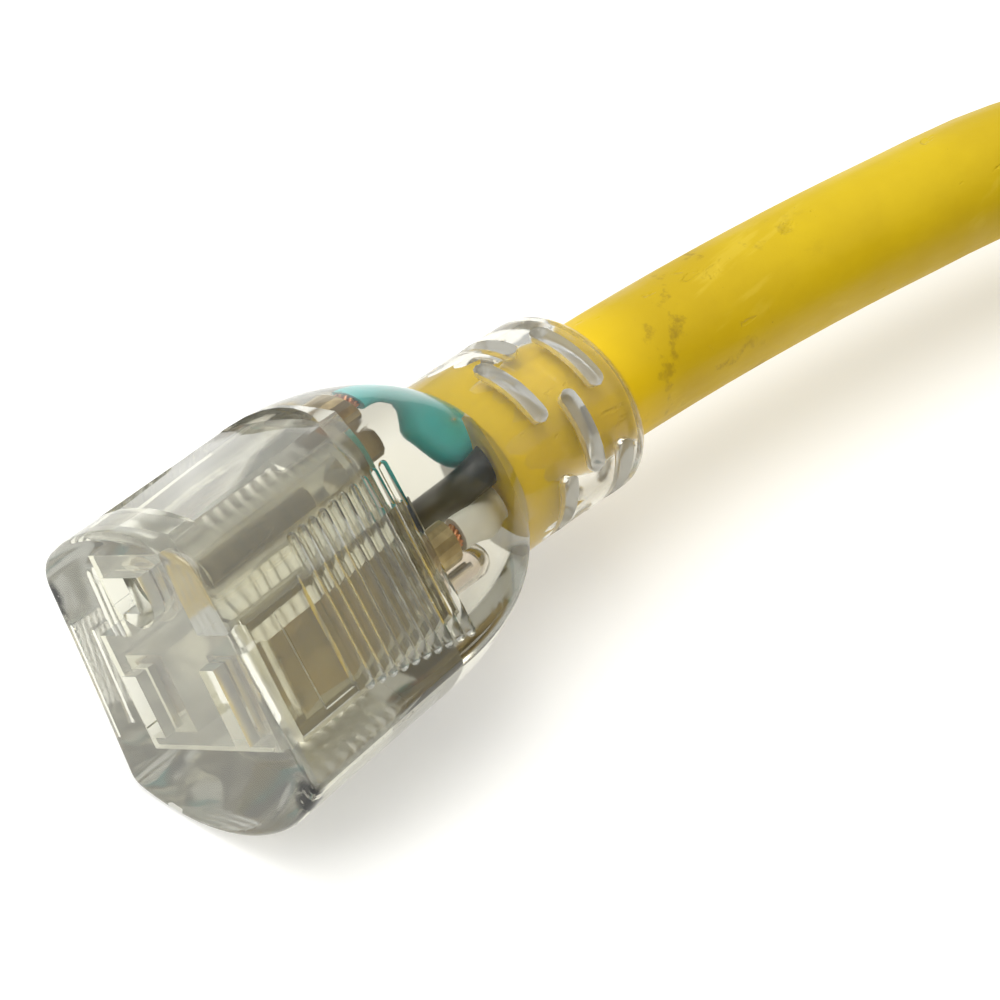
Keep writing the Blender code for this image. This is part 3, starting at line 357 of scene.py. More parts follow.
def lamp_glass():
    m = Material("lamp_glass")
    m.set(IOR=1.48, Transmission_Weight=1.0)
    m.mix_base((0.98, 0.95, 0.93), (0.94, 0.88, 0.84), m.noise(500.0, 3.0))
    m.roughness(0.0, 0.03, m.noise(900.0, 4.0))
    m.bump(m.noise(600.0, 2.0), 0.00002, 0.4)
    return m.made


def resistor_coat():
    m = Material("resistor_coat")
    band = m.remap(m.noise(1800.0, 1.0, (3.0, 0.02, 0.02)), 0.52, 0.56)
    m.mix_base((0.56, 0.43, 0.26), (0.30, 0.07, 0.04), band)
    m.roughness(0.35, 0.6, m.noise(1200.0, 4.0))
    m.bump(m.noise(2500.0, 3.0), 0.00002, 0.8)
    return m.made


def strap_fabric():
    """Woven tape: crossing ribs with a soft nap."""
    m = Material("black_strap")
    weave = []
    for direction, scale in (("X", 700.0), ("Y", 700.0), ("Z", 700.0)):
        wave = m.node("ShaderNodeTexWave", Scale=scale, Distortion=1.0, Detail=2.0)
        wave.bands_direction = direction
        m.link(m.place, wave.inputs["Vector"])
        weave.append(wave.outputs["Fac"])
    height = m.math("MULTIPLY", m.math("ADD", weave[0], weave[1]), weave[2])
    m.mix_base((0.012, 0.012, 0.014), (0.045, 0.045, 0.048), height)
    m.roughness(0.75, 0.95, m.noise(900.0, 5.0))
    m.set(Sheen_Weight=0.35, Sheen_Roughness=0.5)
    m.bump(m.math("ADD", height, m.noise(2600.0, 4.0)), 0.00012, 0.8)
    return m.made


# ---------------------------------------------------------------- mesh helpers

def new_piece(name, mesh, place, surface, replaces=(), sharp=32):
    """A finished piece: linked, shaded, riding on the part, and standing for its CAD nodes."""
    made = bpy.data.objects.new(name, mesh)
    bpy.context.scene.collection.objects.link(made)
    mesh.materials.clear()
    mesh.materials.append(surface)
    mesh.transform(place)
    mesh.shade_smooth()
    mesh.set_sharp_from_angle(angle=math.radians(sharp))
    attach(made, "root")
    if replaces:
        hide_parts(*replaces)
    return made


def mesh_from(bm, name):
    bmesh.ops.recalc_face_normals(bm, faces=bm.faces)
    mesh = bpy.data.meshes.new(name)
    bm.to_mesh(mesh)
    bm.free()
    return mesh


def applied(mesh_object):
    """The object's mesh with its modifiers, and the object gone."""
    bpy.context.view_layer.update()
    evaluated = mesh_object.evaluated_get(bpy.context.evaluated_depsgraph_get())
    mesh = bpy.data.meshes.new_from_object(evaluated)
    bpy.data.objects.remove(mesh_object)
    return mesh


def cut(mesh, cutters):
    """The mesh with all the cutter meshes taken off."""
    target = bpy.data.objects.new("cut_target", mesh)
    bpy.context.scene.collection.objects.link(target)
    tools = []
    for i, cutter in enumerate(cutters):
        tool = bpy.data.objects.new(f"cut_tool_{i}", cutter)
        bpy.context.scene.collection.objects.link(tool)
        tools.append(tool)
        step = target.modifiers.new("cut", "BOOLEAN")
        step.operation = "DIFFERENCE"
        step.object = tool
        step.solver = "EXACT"
    result = applied(target)
    for tool in tools:
        bpy.data.objects.remove(tool)
    return result


def join_meshes(name, meshes):
    bm = bmesh.new()
    for mesh in meshes:
        bm.from_mesh(mesh)
    joined = bpy.data.meshes.new(name)
    bm.to_mesh(joined)
    bm.free()
    return joined


def box(low, high):
    bm = bmesh.new()
    bmesh.ops.create_cube(bm, size=1.0)
    for vertex in bm.verts:
        for axis in range(3):
            vertex.co[axis] = low[axis] if vertex.co[axis] < 0 else high[axis]
    return mesh_from(bm, "box")


def loft(name, sections):
    """A solid skinned over closed sections, which all have the same number of points."""
    bm = bmesh.new()
    rings = [[bm.verts.new(point) for point in section] for section in sections]
    count = len(rings[0])
    for near, far in zip(rings, rings[1:]):
        for k in range(count):
            j = (k + 1) % count
            bm.faces.new((near[k], near[j], far[j], far[k]))
    bm.faces.new(rings[0])
    bm.faces.new(rings[-1])
    return mesh_from(bm, name)


def prism_y(outline, y0, y1):
    """A closed outline in X and Z, carried from y0 to y1."""
    return loft("prism", [[(x, y, z) for x, z in outline] for y in (y0, y1)])


def prism_z(outline, z0, z1):
    """A closed outline in X and Y, carried from z0 to z1."""
    mesh = prism_y(outline, z0, z1)
    mesh.transform(Matrix(((1, 0, 0, 0), (0, 0, 1, 0), (0, 1, 0, 0), (0, 0, 0, 1))))
    mesh.flip_normals()
    return mesh


def lathe_y(profile, steps, centre_xz):
    """A profile of (radius, y) that starts and ends on the axis, turned about Y."""
    bm = bmesh.new()
    rings = []
    for radius, y in profile:
        if radius == 0:
            rings.append([bm.verts.new((centre_xz[0], y, centre_xz[1]))])
        else:
            rings.append([bm.verts.new((centre_xz[0] + radius * math.cos(2 * math.pi * k / steps), y,
                                        centre_xz[1] + radius * math.sin(2 * math.pi * k / steps)))
                          for k in range(steps)])
    for near, far in zip(rings, rings[1:]):
        for k in range(steps):
            j = (k + 1) % steps
            face = [near[k % len(near)], near[j % len(near)], far[j % len(far)], far[k % len(far)]]
            bm.faces.new(list(dict.fromkeys(face)))
    return mesh_from(bm, "lathe")


def tube(points, radius, sides, swell=None):
    """A round tube through the points, built ring by ring without twist.  swell(i) scales a ring."""
    points = [Vector(p) for p in points]
    rings = []
    tangents = [(b - a).normalized() for a, b in zip(points, points[1:])]
    tangents = [tangents[0]] + [(a + b).normalized() for a, b in zip(tangents, tangents[1:])] + [tangents[-1]]
    across = tangents[0].orthogonal().normalized()
    for i, (point, tangent) in enumerate(zip(points, tangents)):
        across = (across - tangent * across.dot(tangent)).normalized()
        other = tangent.cross(across)
        size = radius * (swell(i) if swell else 1.0)
        rings.append([point + across * size * math.cos(2 * math.pi * k / sides)
                      + other * size * math.sin(2 * math.pi * k / sides) for k in range(sides)])
    return loft("tube", rings)


def eased(t):
    """From 0 to 1 with level ends."""
    return t * t * (3 - 2 * t)


def smooth_route(points, spacing):
    """Points a set distance apart along a centripetal Catmull-Rom curve through the route's points."""
    points = [Vector(p) for p in points]
    ends = [2 * points[0] - points[1]] + points + [2 * points[-1] - points[-2]]
    fine, fine_steps = [], 24
    for p0, p1, p2, p3 in zip(ends, ends[1:], ends[2:], ends[3:]):
        knots = [0.0]
        for a, b in ((p0, p1), (p1, p2), (p2, p3)):
            knots.append(knots[-1] + math.sqrt((b - a).length))
        t0, t1, t2, t3 = knots
        for step in range(fine_steps):
            t = t1 + (t2 - t1) * step / fine_steps
            a1 = p0.lerp(p1, (t - t0) / (t1 - t0))
            a2 = p1.lerp(p2, (t - t1) / (t2 - t1))
            a3 = p2.lerp(p3, (t - t2) / (t3 - t2))
            b1 = a1.lerp(a2, (t - t0) / (t2 - t0))
            b2 = a2.lerp(a3, (t - t1) / (t3 - t1))
            fine.append(b1.lerp(b2, (t - t1) / (t2 - t1)))
    fine.append(points[-1])
    length = sum((b - a).length for a, b in zip(fine, fine[1:]))
    count = max(2, round(length / spacing))
    chosen, walked = [fine[0]], 0.0
    for a, b in zip(fine, fine[1:]):
        walked += (b - a).length
        if walked >= length / count * len(chosen) and len(chosen) < count:
            chosen.append(b)
    return chosen + [fine[-1]]


# ---------------------------------------------------------------- cord

def coil_turns(centre):
    """The wound turns, layer on layer.  Each shift to the next radius, and each rise to the next layer, has
    an arc of its own, so that the turns pass beside each other."""
    start_angle, points_per_turn, wound_turns = 128.0, 48, 13.89
    arc, join_until = 0.155, 0.16       # shares of a turn
    inner_first = [COIL_MID_R + (k - (TURNS_ACROSS - 1) / 2) * CORD_D for k in range(TURNS_ACROSS)]
    outside = COIL_MID_R + TURNS_ACROSS * CORD_D / 2 + CORD_R

    legs = []
    for layer in range(TURNS_HIGH):
        radii, knee = (inner_first[::-1], 0.68) if layer % 2 == 0 else (inner_first, 0.32)
        height = COIL_Z0 + CORD_D * (layer + 0.5)
        for place, radius in enumerate(radii):
            rises = place == TURNS_ACROSS - 1
            arcs_apart = 2 if rises or (place == 0 and layer > 0) else 1
            legs.append((1 - arc * arcs_apart, radius, radius, height, height, 0.5))
            if rises:
                legs.append((arc, radius, radius, height, height + CORD_D, 0.5))
            else:
                legs.append((arc, radius, radii[place + 1], height, height, knee))

    points = []
    leg, leg_start = 0, 0.0
    for step in range(round(wound_turns * points_per_turn)):
        turn = step / points_per_turn
        while turn - leg_start > legs[leg][0]:
            leg_start += legs[leg][0]
            leg += 1
        length, radius_0, radius_1, height_0, height_1, knee = legs[leg]
        t = (turn - leg_start) / length
        # the change gathers speed up to its knee and slows down after it
        share = t * t / knee if t < knee else 1 - (1 - t) ** 2 / (1 - knee)
        radius, height = radius_0 + (radius_1 - radius_0) * share, height_0 + (height_1 - height_0) * share
        if turn < join_until:
            radius = outside + (radius - outside) * eased(turn / join_until)
        angle = math.radians(start_angle - 360 * turn)
        points.append((centre.x + radius * math.cos(angle), centre.y + radius * math.sin(angle), height))
    return points


def cord_route():
    """The cord's centre line from the stripped end in the connector to the stripped end in the plug."""
    axis_z = FACE_POINT.z / MM
    # X and Y from the face, and height above the floor, in mm
    lead = [(BEND_RATE * (y * MM - BEND_START_Y) ** 2 / MM, y, axis_z)
            for y in (40.5, 48, 58, 74, 90, 104, 118)]
    lead += [(20.5, 135, 16.2), (31, 152, 13.0), (44, 167.5, 9.8), (58.7, 181.4, 8.8), (76, 195, 9.2)]
    centre = to_world(COIL_X, COIL_Y)
    turns = coil_turns(centre)
    top_z, plug_z = COIL_Z1 + GAP + CORD_R, mount_point("plug_face").z
    # angle round the coil, radius in mm, and height as a share of the way from the coil's top to the plug
    over = [(163.7, 89.6, -2.02), (154.5, 88.9, -1.15), (145.2, 86.9, -0.29), (136, 85.0, 0.0),
            (126, 84.3, 0.0), (114, 83.5, 0.0), (100, 83.0, 0.04), (86, 82.5, 0.15), (70, 82.5, 0.45),
            (52, 82.6, 0.7), (36, 82.9, 0.92), (22, 83.2, 1.0), (9, 83.2, 1.0)]
    tail = [to_world(COIL_X + r * MM * math.cos(math.radians(a)), COIL_Y + r * MM * math.sin(math.radians(a)),
                     top_z + (plug_z - top_z) * rise) for a, r, rise in over]
    tail += [to_world(PLUG_X, PLUG_FACE_Y + y * MM, plug_z) for y in (46, 38, 30)]
    start = [to_world(x * MM, y * MM, z * MM) for x, y, z in lead]
    return smooth_route(start + turns + tail, 5.0 * MM)


def make_cord(surface):
    """The whole jacket as one cord, from the end inside the connector to the end inside the plug."""
    route = cord_route()
    data = bpy.data.curves.new("cord_jacket_whole", "CURVE")
    data.dimensions = "3D"
    data.bevel_depth = CORD_R
    data.bevel_resolution = 8
    data.use_fill_caps = True
    spline = data.splines.new("POLY")
    spline.points.add(len(route) - 1)
    for point, place in zip(spline.points, route):
        point.co = (*place, 1.0)
    spline.use_smooth = True
    data.materials.append(surface)
    cord = bpy.data.objects.new("cord_jacket_whole", data)
    bpy.context.scene.collection.objects.link(cord)
    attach(cord, "root")
    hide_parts("cord_jacket", "cord_coil", "cord_jacket_plug_end")


# ---------------------------------------------------------------- moulded bodies

def arc_points(half_width, corner_z, crown_z, count):
    """An arc from (-half_width, corner_z) over (0, crown_z) to (half_width, corner_z)."""
    rise = abs(crown_z - corner_z)
    radius = (half_width ** 2 + rise ** 2) / (2 * rise)
    upwards = 1 if crown_z > corner_z else -1
    centre_z = crown_z - upwards * radius
    reach = math.asin(half_width / radius)
    angles = [-reach + 2 * reach * i / count for i in range(count + 1)]
    return [(radius * math.sin(t), centre_z + upwards * radius * math.cos(t)) for t in angles]


def round_corners(outline, corners, steps=6):
    """Replace the numbered corners of a closed outline by short curves of the given reach."""
    rounded = []
    for i, point in enumerate(outline):
        if i not in corners:
            rounded.append(point)
            continue
        here = Vector(point)
        before = Vector(outline[i - 1])
        after = Vector(outline[(i + 1) % len(outline)])
        start = here + (before - here).normalized() * min(corners[i], (before - here).length * 0.8)
        end = here + (after - here).normalized() * min(corners[i], (after - here).length * 0.8)
        for k in range(steps + 1):
            t = k / steps
            p = start.lerp(here, t).lerp(here.lerp(end, t), t)
            rounded.append((p.x, p.y))
    return rounded


def body_outline(top_half_w, bottom_half_w):
    """The body's section: crowned top and belly, nearly flat sides, rounded corners."""
    crown_steps, belly_steps, side_steps = 10, 22, 10
    top_reach, belly_reach = 2.2 * MM, 1.0 * MM
    top = arc_points(top_half_w, TOP_CORNER_Z, CROWN_Z, crown_steps)
    bottom = arc_points(bottom_half_w, BOTTOM_CORNER_Z, BELLY_Z, belly_steps)[::-1]
    top_corner, bottom_corner = Vector(top[-1]), Vector(bottom[0])
    side = [top_corner.lerp(bottom_corner, i / side_steps) for i in range(1, side_steps)]
    right = [(p.x, p.y) for p in side]
    left = [(-p.x, p.y) for p in side[::-1]]
    outline = top + right + bottom + left
    last_top, first_bottom = len(top) - 1, len(top) + len(right)
    last_bottom = first_bottom + len(bottom) - 1
    corners = {0: top_reach, last_top: top_reach, first_bottom: belly_reach, last_bottom: belly_reach}
    return round_corners(outline, corners)


CONNECTOR_OUTLINE = body_outline(TOP_HALF_W, BOTTOM_HALF_W)
PLUG_OUTLINE = body_outline(PLUG_HALF_W, PLUG_HALF_W)


def bend_in_body(y):
    """How far the cord's centre line stands off the axis, in the rolled body's own frame."""
    bend = BEND_RATE * max(0.0, y - BEND_START_Y) ** 2
    return Vector((bend * math.cos(BODY_ROLL), 0, -bend * math.sin(BODY_ROLL)))


def straight(y):
    """The plug's centre line stays on the axis all the way."""
    return Vector((0, 0, 0))


def moulded_body(outline, shoulder_y, dome_end_y, boot_end_y, offset):
    """A loft: rounded face edge, drafted body, domed shoulder, round boot with a rounded end."""
    rings = []

    def scaled(y, inset):
        rings.append([(x * (1 - inset / math.hypot(x, z)), y, z * (1 - inset / math.hypot(x, z)))
                      for x, z in outline])

    def round_ring(y, radius, height, shrink):
        shift = offset(y)
        ring = []
        for x, z in outline:
            reach = math.hypot(x, z)
            size = radius + (reach * shrink - radius) * height
            ring.append((x / reach * size + shift.x, y, z / reach * size + shift.z))
        rings.append(ring)

    face_steps, side_steps, dome_steps, boot_steps, end_steps = 7, 6, 26, 10, 6
    # the first and last rings lie just inside the rounded edges, so that the end faces shade flat
    scaled(0.0, FACE_ROUND * 1.2)
    for step in range(face_steps + 1):
        turn = step / face_steps * math.pi / 2
        scaled(FACE_ROUND * (1 - math.cos(turn)), FACE_ROUND * (1 - math.sin(turn)))
    for step in range(1, side_steps + 1):
        share = step / side_steps
        y = FACE_ROUND + (shoulder_y - FACE_ROUND) * share
        rings.append([(x * (1 - DRAFT * share), y, z * (1 - DRAFT * share)) for x, z in outline])
    end_height = math.sqrt(1 - DOME_SHARE ** 2)
    for step in range(1, dome_steps + 1):
        u = math.sin(step / dome_steps * math.pi / 2)
        height = (math.sqrt(1 - (DOME_SHARE * u) ** 2) - end_height) / (1 - end_height)
        round_ring(shoulder_y + (dome_end_y - shoulder_y) * u, BOOT_R, height, 1 - DRAFT)
    straight_end = boot_end_y - BOOT_ROUND
    for step in range(1, boot_steps + 1):
        round_ring(dome_end_y + (straight_end - dome_end_y) * step / boot_steps, BOOT_R, 0.0, 1.0)
    for step in range(1, end_steps + 1):
        turn = step / end_steps * math.pi / 2
        round_ring(straight_end + BOOT_ROUND * math.sin(turn), BOOT_R - BOOT_ROUND * (1 - math.cos(turn)),
                   0.0, 1.0)
    round_ring(boot_end_y, BOOT_R - BOOT_ROUND * 1.1, 0.0, 1.0)
    return loft("moulded_body", rings)


def relief_slots(boot_end_y, offset):
    """Cutters for round-ended slots round a boot: three rows of four, the middle row turned by 45 degrees."""
    half_angle, half_width, steps, floor_steps = math.radians(27), 1.0 * MM, 18, 6
    outside, wall_end = BOOT_R + 2.0 * MM, BOOT_R - 1.0 * MM
    first_y, pitch, rows = boot_end_y - 11.5 * MM, 4.0 * MM, 3
    made = []
    for row in range(rows):
        y = first_y + pitch * row
        shift = offset(y)
        for centre in range(0 if row == 1 else 45, 360, 90):
            sections = []
            for i in range(-steps, steps + 1):
                turn = math.radians(centre) + half_angle * i / steps
                into_end = max(0.0, abs(i) / steps * half_angle * BOOT_R - (half_angle * BOOT_R - half_width))
                wide = half_width * max(0.08, math.sqrt(max(0.0, 1 - (into_end / half_width) ** 2)))
                profile = [(outside, wide), (outside, -wide)]
                profile += [(wall_end - wide * math.sin(math.pi * k / floor_steps),
                             -wide * math.cos(math.pi * k / floor_steps)) for k in range(floor_steps + 1)]
                sections.append([(r * math.cos(turn) + shift.x, y + across, r * math.sin(turn) + shift.z)
                                 for r, across in profile])
            made.append(loft("relief_slot", sections))
    return join_meshes("relief_slots", made)


def boot_bore(boot_end_y, offset, rings=26, sides=60):
    """Cutter that keeps the boot's outer part clear of the jacket, with an uneven start where the two have
    bonded."""
    y0, y1 = boot_end_y - 16.0 * MM, boot_end_y + 2.0 * MM
    loops = []
    for i in range(rings + 1):
        y = y0 + (y1 - y0) * i / rings
        shift = offset(y)
        loop = []
        for k in range(sides):
            turn = 2 * math.pi * k / sides
            uneven = 0.35 * math.sin(2 * turn + 1.3) + 0.30 * math.sin(5 * turn + y / (1.7 * MM))
            open_share = max(-1.0, min(1.0, (i / rings - 0.3) * 3.0 + uneven))
            reach = CORD_R + 0.2 * MM * open_share
            loop.append((reach * math.cos(turn) + shift.x, y, reach * math.sin(turn) + shift.z))
        loops.append(loop)
    return loft("boot_bore", loops)


def side_surface_x(y):
    """How far out the connector's side is at mid height."""
    widening = (BOTTOM_HALF_W - TOP_HALF_W) / (TOP_CORNER_Z - BOTTOM_CORNER_Z)
    at_face = TOP_HALF_W + widening * TOP_CORNER_Z
    dome_slope = 0.045
    return at_face * (1 - DRAFT * min(y, SHOULDER_Y) / SHOULDER_Y) - max(0.0, y - SHOULDER_Y) * dome_slope


def side_lean(side):
    lean = math.atan2(BOTTOM_HALF_W - TOP_HALF_W, TOP_CORNER_Z - BOTTOM_CORNER_Z)
    return Matrix.Rotation(-side * lean, 4, "Y")


def grip_grooves(side):
    """Cutters for the grip: round-ended grooves up the side, with ribs left between them."""
    first_y, pitch, count, radius, end_steps = 11.3 * MM, 1.5 * MM, 10, 0.66 * MM, 5
    made = []
    for i in range(count):
        y = first_y + pitch * i
        x = side * (side_surface_x(y) + 0.12 * MM)
        low, high = (-7.6 - 0.28 * i) * MM, 9.8 * MM
        turns = [k / end_steps * math.pi / 2 for k in range(end_steps)]
        heights = [low + radius * (1 - math.cos(turn)) for turn in turns]
        sizes = [max(0.04, math.sin(turn)) for turn in turns]
        points = [(x, y, z) for z in heights] + [(x, y, low + radius), (x, y, high - radius)]
        points += [(x, y, high - (z - low)) for z in heights[::-1]]
        scale = sizes + [1.0, 1.0] + sizes[::-1]
        made.append(tube(points, radius, 14, swell=lambda k, scale=scale: scale[k]))
    mesh = join_meshes("grip_grooves", made)
    mesh.transform(side_lean(side))
    return mesh


def side_panels(side):
    """Cutters for the stepped window in front of the grip: Y from and to, Z from and to, and depth, in mm."""
    out = 3.0 * MM
    made = []
    for y0, y1, low, high, depth in ((1.6, 9.9, -7.0, 6.0, 0.35), (5.7, 9.9, -6.4, 4.4, 0.75)):
        near, far = side_surface_x(y0 * MM) - depth * MM, side_surface_x(y1 * MM) - depth * MM
        outline = [(side * near, y0 * MM), (side * (near + out), y0 * MM), (side * (far + out), y1 * MM),
                   (side * far, y1 * MM)]
        mesh = prism_z(outline, low * MM, high * MM)
        mesh.transform(side_lean(side))
        made.append(mesh)
    return made


def thumb_pocket():
    """Cutter for the flat-bottomed pocket in the crown, with a round rear end."""
    half, front, rear, round_end, steps = 8.2 * MM, 5.0 * MM, 25.2 * MM, 3.0 * MM, 12
    floor_z, above = 15.7 * MM, 25.0 * MM
    outline = [(half, front), (-half, front)]
    for k in range(steps + 1):
        turn = math.pi * k / steps
        outline.append((-half * math.cos(turn), rear - round_end + round_end * math.sin(turn)))
    return prism_z(outline, floor_z, above)


def ground_opening(steps=14):
    """The ground opening's outline: flat away from the blades, round towards them."""
    half = GROUND_OPENING_W / 2
    flat_z = GROUND_OPENING_H - half
    outline = [(half, flat_z + GROUND_Z), (-half, flat_z + GROUND_Z)]
    outline += [(-half * math.cos(math.pi * i / steps), GROUND_Z - half * math.sin(math.pi * i / steps))
                for i in range(steps + 1)]
    return outline


def carrier_outline(grow):
    """The contact carrier's section, from behind, with some room round it."""
    wide, neck = 9.6 * MM + grow, 5.2 * MM + grow
    low, step, high = -7.2 * MM - grow, 5.2 * MM + grow, 14.2 * MM + grow
    return [(-wide, low), (wide, low), (wide, step), (neck, step), (neck, high), (-neck, high),
            (-neck, step), (-wide, step)]


def face_openings():
    """Cutters for the ground opening and the two blade slots, through the front wall into the seat."""
    before, behind = -1.0 * MM, FRONT_WALL + 0.2 * MM
    made = [prism_y(ground_opening(), before, behind)]
    for x, height in ((HOT_X, HOT_SLOT_H), (NEUTRAL_X, NEUTRAL_SLOT_H)):
        made.append(box((x - SLOT_W / 2, before, BLADE_LINE - height / 2),
                        (x + SLOT_W / 2, behind, BLADE_LINE + height / 2)))
    return join_meshes("openings", made)


def connector_surface(place):
    """The number of the clear vinyl at a place in the connector's frame: worn, dome, boot, milky slot."""
    if place.y < SHOULDER_Y:
        return 0
    if place.y < DOME_END_Y:
        return 1
    off_axis = place - bend_in_body(place.y)
    in_slot = CORD_R + 0.5 * MM < math.hypot(off_axis.x, off_axis.z) < BOOT_R - 0.15 * MM
    return 3 if in_slot and place.y < BOOT_END_Y - 2.0 * MM else 2


def make_connector_body(clear):
    """The connector's clear body, in four clear vinyls: worn in front, clean dome, boot, milky slots."""
    mesh = moulded_body(CONNECTOR_OUTLINE, SHOULDER_Y, DOME_END_Y, BOOT_END_Y, bend_in_body)
    seat = prism_y(carrier_outline(GAP), FRONT_WALL, COVER_Y1 + GAP)
    cutters = [thumb_pocket(), relief_slots(BOOT_END_Y, bend_in_body), boot_bore(BOOT_END_Y, bend_in_body),
               seat, face_openings()]
    for side in (-1, 1):
        cutters += [*side_panels(side), grip_grooves(side)]
    mesh = cut(mesh, cutters)
    scuffs = [(CONNECTOR @ Vector((x * MM, 0.3 * MM, z * MM)), reach * MM) for x, z, reach in FACE_SCUFFS]
    worn = clear_vinyl("clear_vinyl_worn", 0.09, 1.43, ((0.97, 0.965, 0.885), (0.93, 0.925, 0.83)), scuffs)
    dome = clear_vinyl("clear_vinyl_dome", 0.02, 1.37, ((0.95, 0.94, 0.88), (0.91, 0.90, 0.84)))
    new_piece("connector_clear_body", mesh, CONNECTOR, worn, ["connector_overmold"])
    milky = clear_vinyl("clear_vinyl_milky", 0.34, 1.35, ((0.96, 0.95, 0.91), (0.90, 0.89, 0.83)))
    for surface in (dome, clear, milky):
        mesh.materials.append(surface)
    to_body = CONNECTOR.inverted()
    for face in mesh.polygons:
        face.material_index = connector_surface(to_body @ face.center)


def make_plug_body(surface):
    """The plug's clear body, solid round its conductors, with a seat for the blade bridge."""
    mesh = moulded_body(PLUG_OUTLINE, PLUG_SHOULDER_Y, PLUG_DOME_END_Y, PLUG_BOOT_END_Y, straight)
    seat_half_w, seat_low, seat_high = 10.7 * MM, -7.5 * MM, 14.3 * MM
    seat = box((-seat_half_w, BRIDGE_Y0 - GAP, seat_low), (seat_half_w, BRIDGE_Y1 + GAP, seat_high))
    mesh = cut(mesh, [relief_slots(PLUG_BOOT_END_Y, straight), boot_bore(PLUG_BOOT_END_Y, straight), seat])
    return new_piece("plug_clear_body", mesh, PLUG, surface, ["plug_overmold"])


# ---------------------------------------------------------------- conductors and lamp

def s_bend(start, end, steps=12):
    """Points along two equal arcs that leave both ends straight along Y."""
    across = Vector((end.x - start.x, 0, end.z - start.z))
    run, side = end.y - start.y, across.length
    radius = (run ** 2 + side ** 2) / (4 * side)
    turn = math.asin(abs(run) / 2 / radius)
    half = []
    for i in range(steps + 1):
        along = math.copysign(radius * math.sin(turn * i / steps), run)
        half.append(Vector((0, along, 0)) + across.normalized() * radius * (1 - math.cos(turn * i / steps)))
    return [start + p for p in half] + [end - p for p in half[-2::-1]]


def strand_bundle(centre_xz, y0, y1):
    """Nineteen twisted copper strands: one, six and twelve."""
    made = []
    steps, lay_length = 12, 11.0 * MM
    strand_r = STRANDS_R / 5.2          # five radii to the outside, and some air
    for count, ring_r in ((1, 0.0), (6, 2 * strand_r), (12, 4 * strand_r)):
        for k in range(count):
            points = []
            for step in range(steps + 1):
                y = y0 + (y1 - y0) * step / steps
                turn = 2 * math.pi * k / count + (y - y0) / lay_length * 2 * math.pi
                points.append((centre_xz[0] + ring_r * math.cos(turn), y,
                               centre_xz[1] + ring_r * math.sin(turn)))
            made.append(tube(points, strand_r, 8))
    return join_meshes("strands", made)


def swung_route(start, lead_out, mid, run_in, end, steps=32):
    """A smooth curve that leaves both ends along Y and is drawn towards a point on its way."""
    control = [start, start - Vector((0, lead_out, 0)), Vector(mid), end + Vector((0, run_in, 0)), end]
    order = len(control) - 1
    points = []
    for i in range(steps + 1):
        t = i / steps
        weights = [math.comb(order, k) * (1 - t) ** (order - k) * t ** k for k in range(order + 1)]
        points.append(sum((w * c for w, c in zip(weights, control)), Vector((0, 0, 0))))
    return points


def make_conductors(prefix, place, jacket_end_y, barrel_end_y, shift, looks, ways=None):
    """The three conductors of one end, from the jacket to the contacts, and their stripped copper."""
    made = []
    ends = {"black": (HOT_X, BLADE_LINE), "white": (NEUTRAL_X, BLADE_LINE), "green": (0.0, GROUND_Z)}
    for label, (x, z) in ends.items():
        turn = math.radians(ways[label][0] if ways else WIRE_ANGLES[label])
        start = Vector((WIRE_OFFSET * math.cos(turn), jacket_end_y - GAP - END_LEAN,
                        WIRE_OFFSET * math.sin(turn))) + shift
        end = Vector((x, barrel_end_y + 1.1 * MM, z))
        route = swung_route(start, *ways[label][1:], end) if ways else s_bend(start, end)
        made.append(new_piece(f"{prefix}{label}_insulation", tube(route, WIRE_R, 24), place, looks[label],
                              [f"{prefix}{label}_wire"], sharp=50))
        strands = strand_bundle((x, z), barrel_end_y - 2.8 * MM, end.y - GAP / 3)
        made.append(new_piece(f"{prefix}{label}_copper", strands, place, looks["copper"],
                              [f"{prefix}{label}_strands"], sharp=50))
    return made


def make_lamp_bulb(surface):
    """The lamp's glass: a thin-walled tube with a round tip, open at its base."""
    z, base_y, tip_y = -6.9 * MM, 29.6 * MM, 36.4 * MM
    bulb_r, wall, tip_steps = 1.9 * MM, 0.5 * MM, 7
    turns = [math.pi / 2 * k / tip_steps for k in range(tip_steps + 1)]
    outer = [(bulb_r * math.cos(turn), tip_y - bulb_r * (1 - math.sin(turn))) for turn in turns]
    inner = [(radius - wall, y - 0.6 * MM) for radius, y in outer if radius > 0.6 * MM]
    profile = [(0.0, tip_y)] + outer[::-1][1:] + [(bulb_r, base_y), (bulb_r - wall, base_y)]
    profile += inner + [(0.0, tip_y - 0.7 * MM)]
    new_piece("lamp_envelope", lathe_y(profile, 28, (0.0, z)), CONNECTOR, surface,
              ["lamp_bulb"], sharp=50)


# ---------------------------------------------------------------- straps

def turn_places(centre, degrees):
    """Where the wound turns pass the upright plane at this angle: (distance from middle radius, height)."""
    points = coil_turns(centre)
    angles = [math.degrees(math.atan2(p[1] - centre.y, p[0] - centre.x)) for p in points]
    places = []
    for here, after, a, b in zip(points, points[1:], angles, angles[1:]):
        step, past = (a - b) % 360, (a - degrees) % 360
        if past < step:
            crossing = Vector(here).lerp(Vector(after), past / step)
            radius = math.hypot(crossing.x - centre.x, crossing.y - centre.y)
            places.append((radius - COIL_MID_R, crossing.z))
    return places


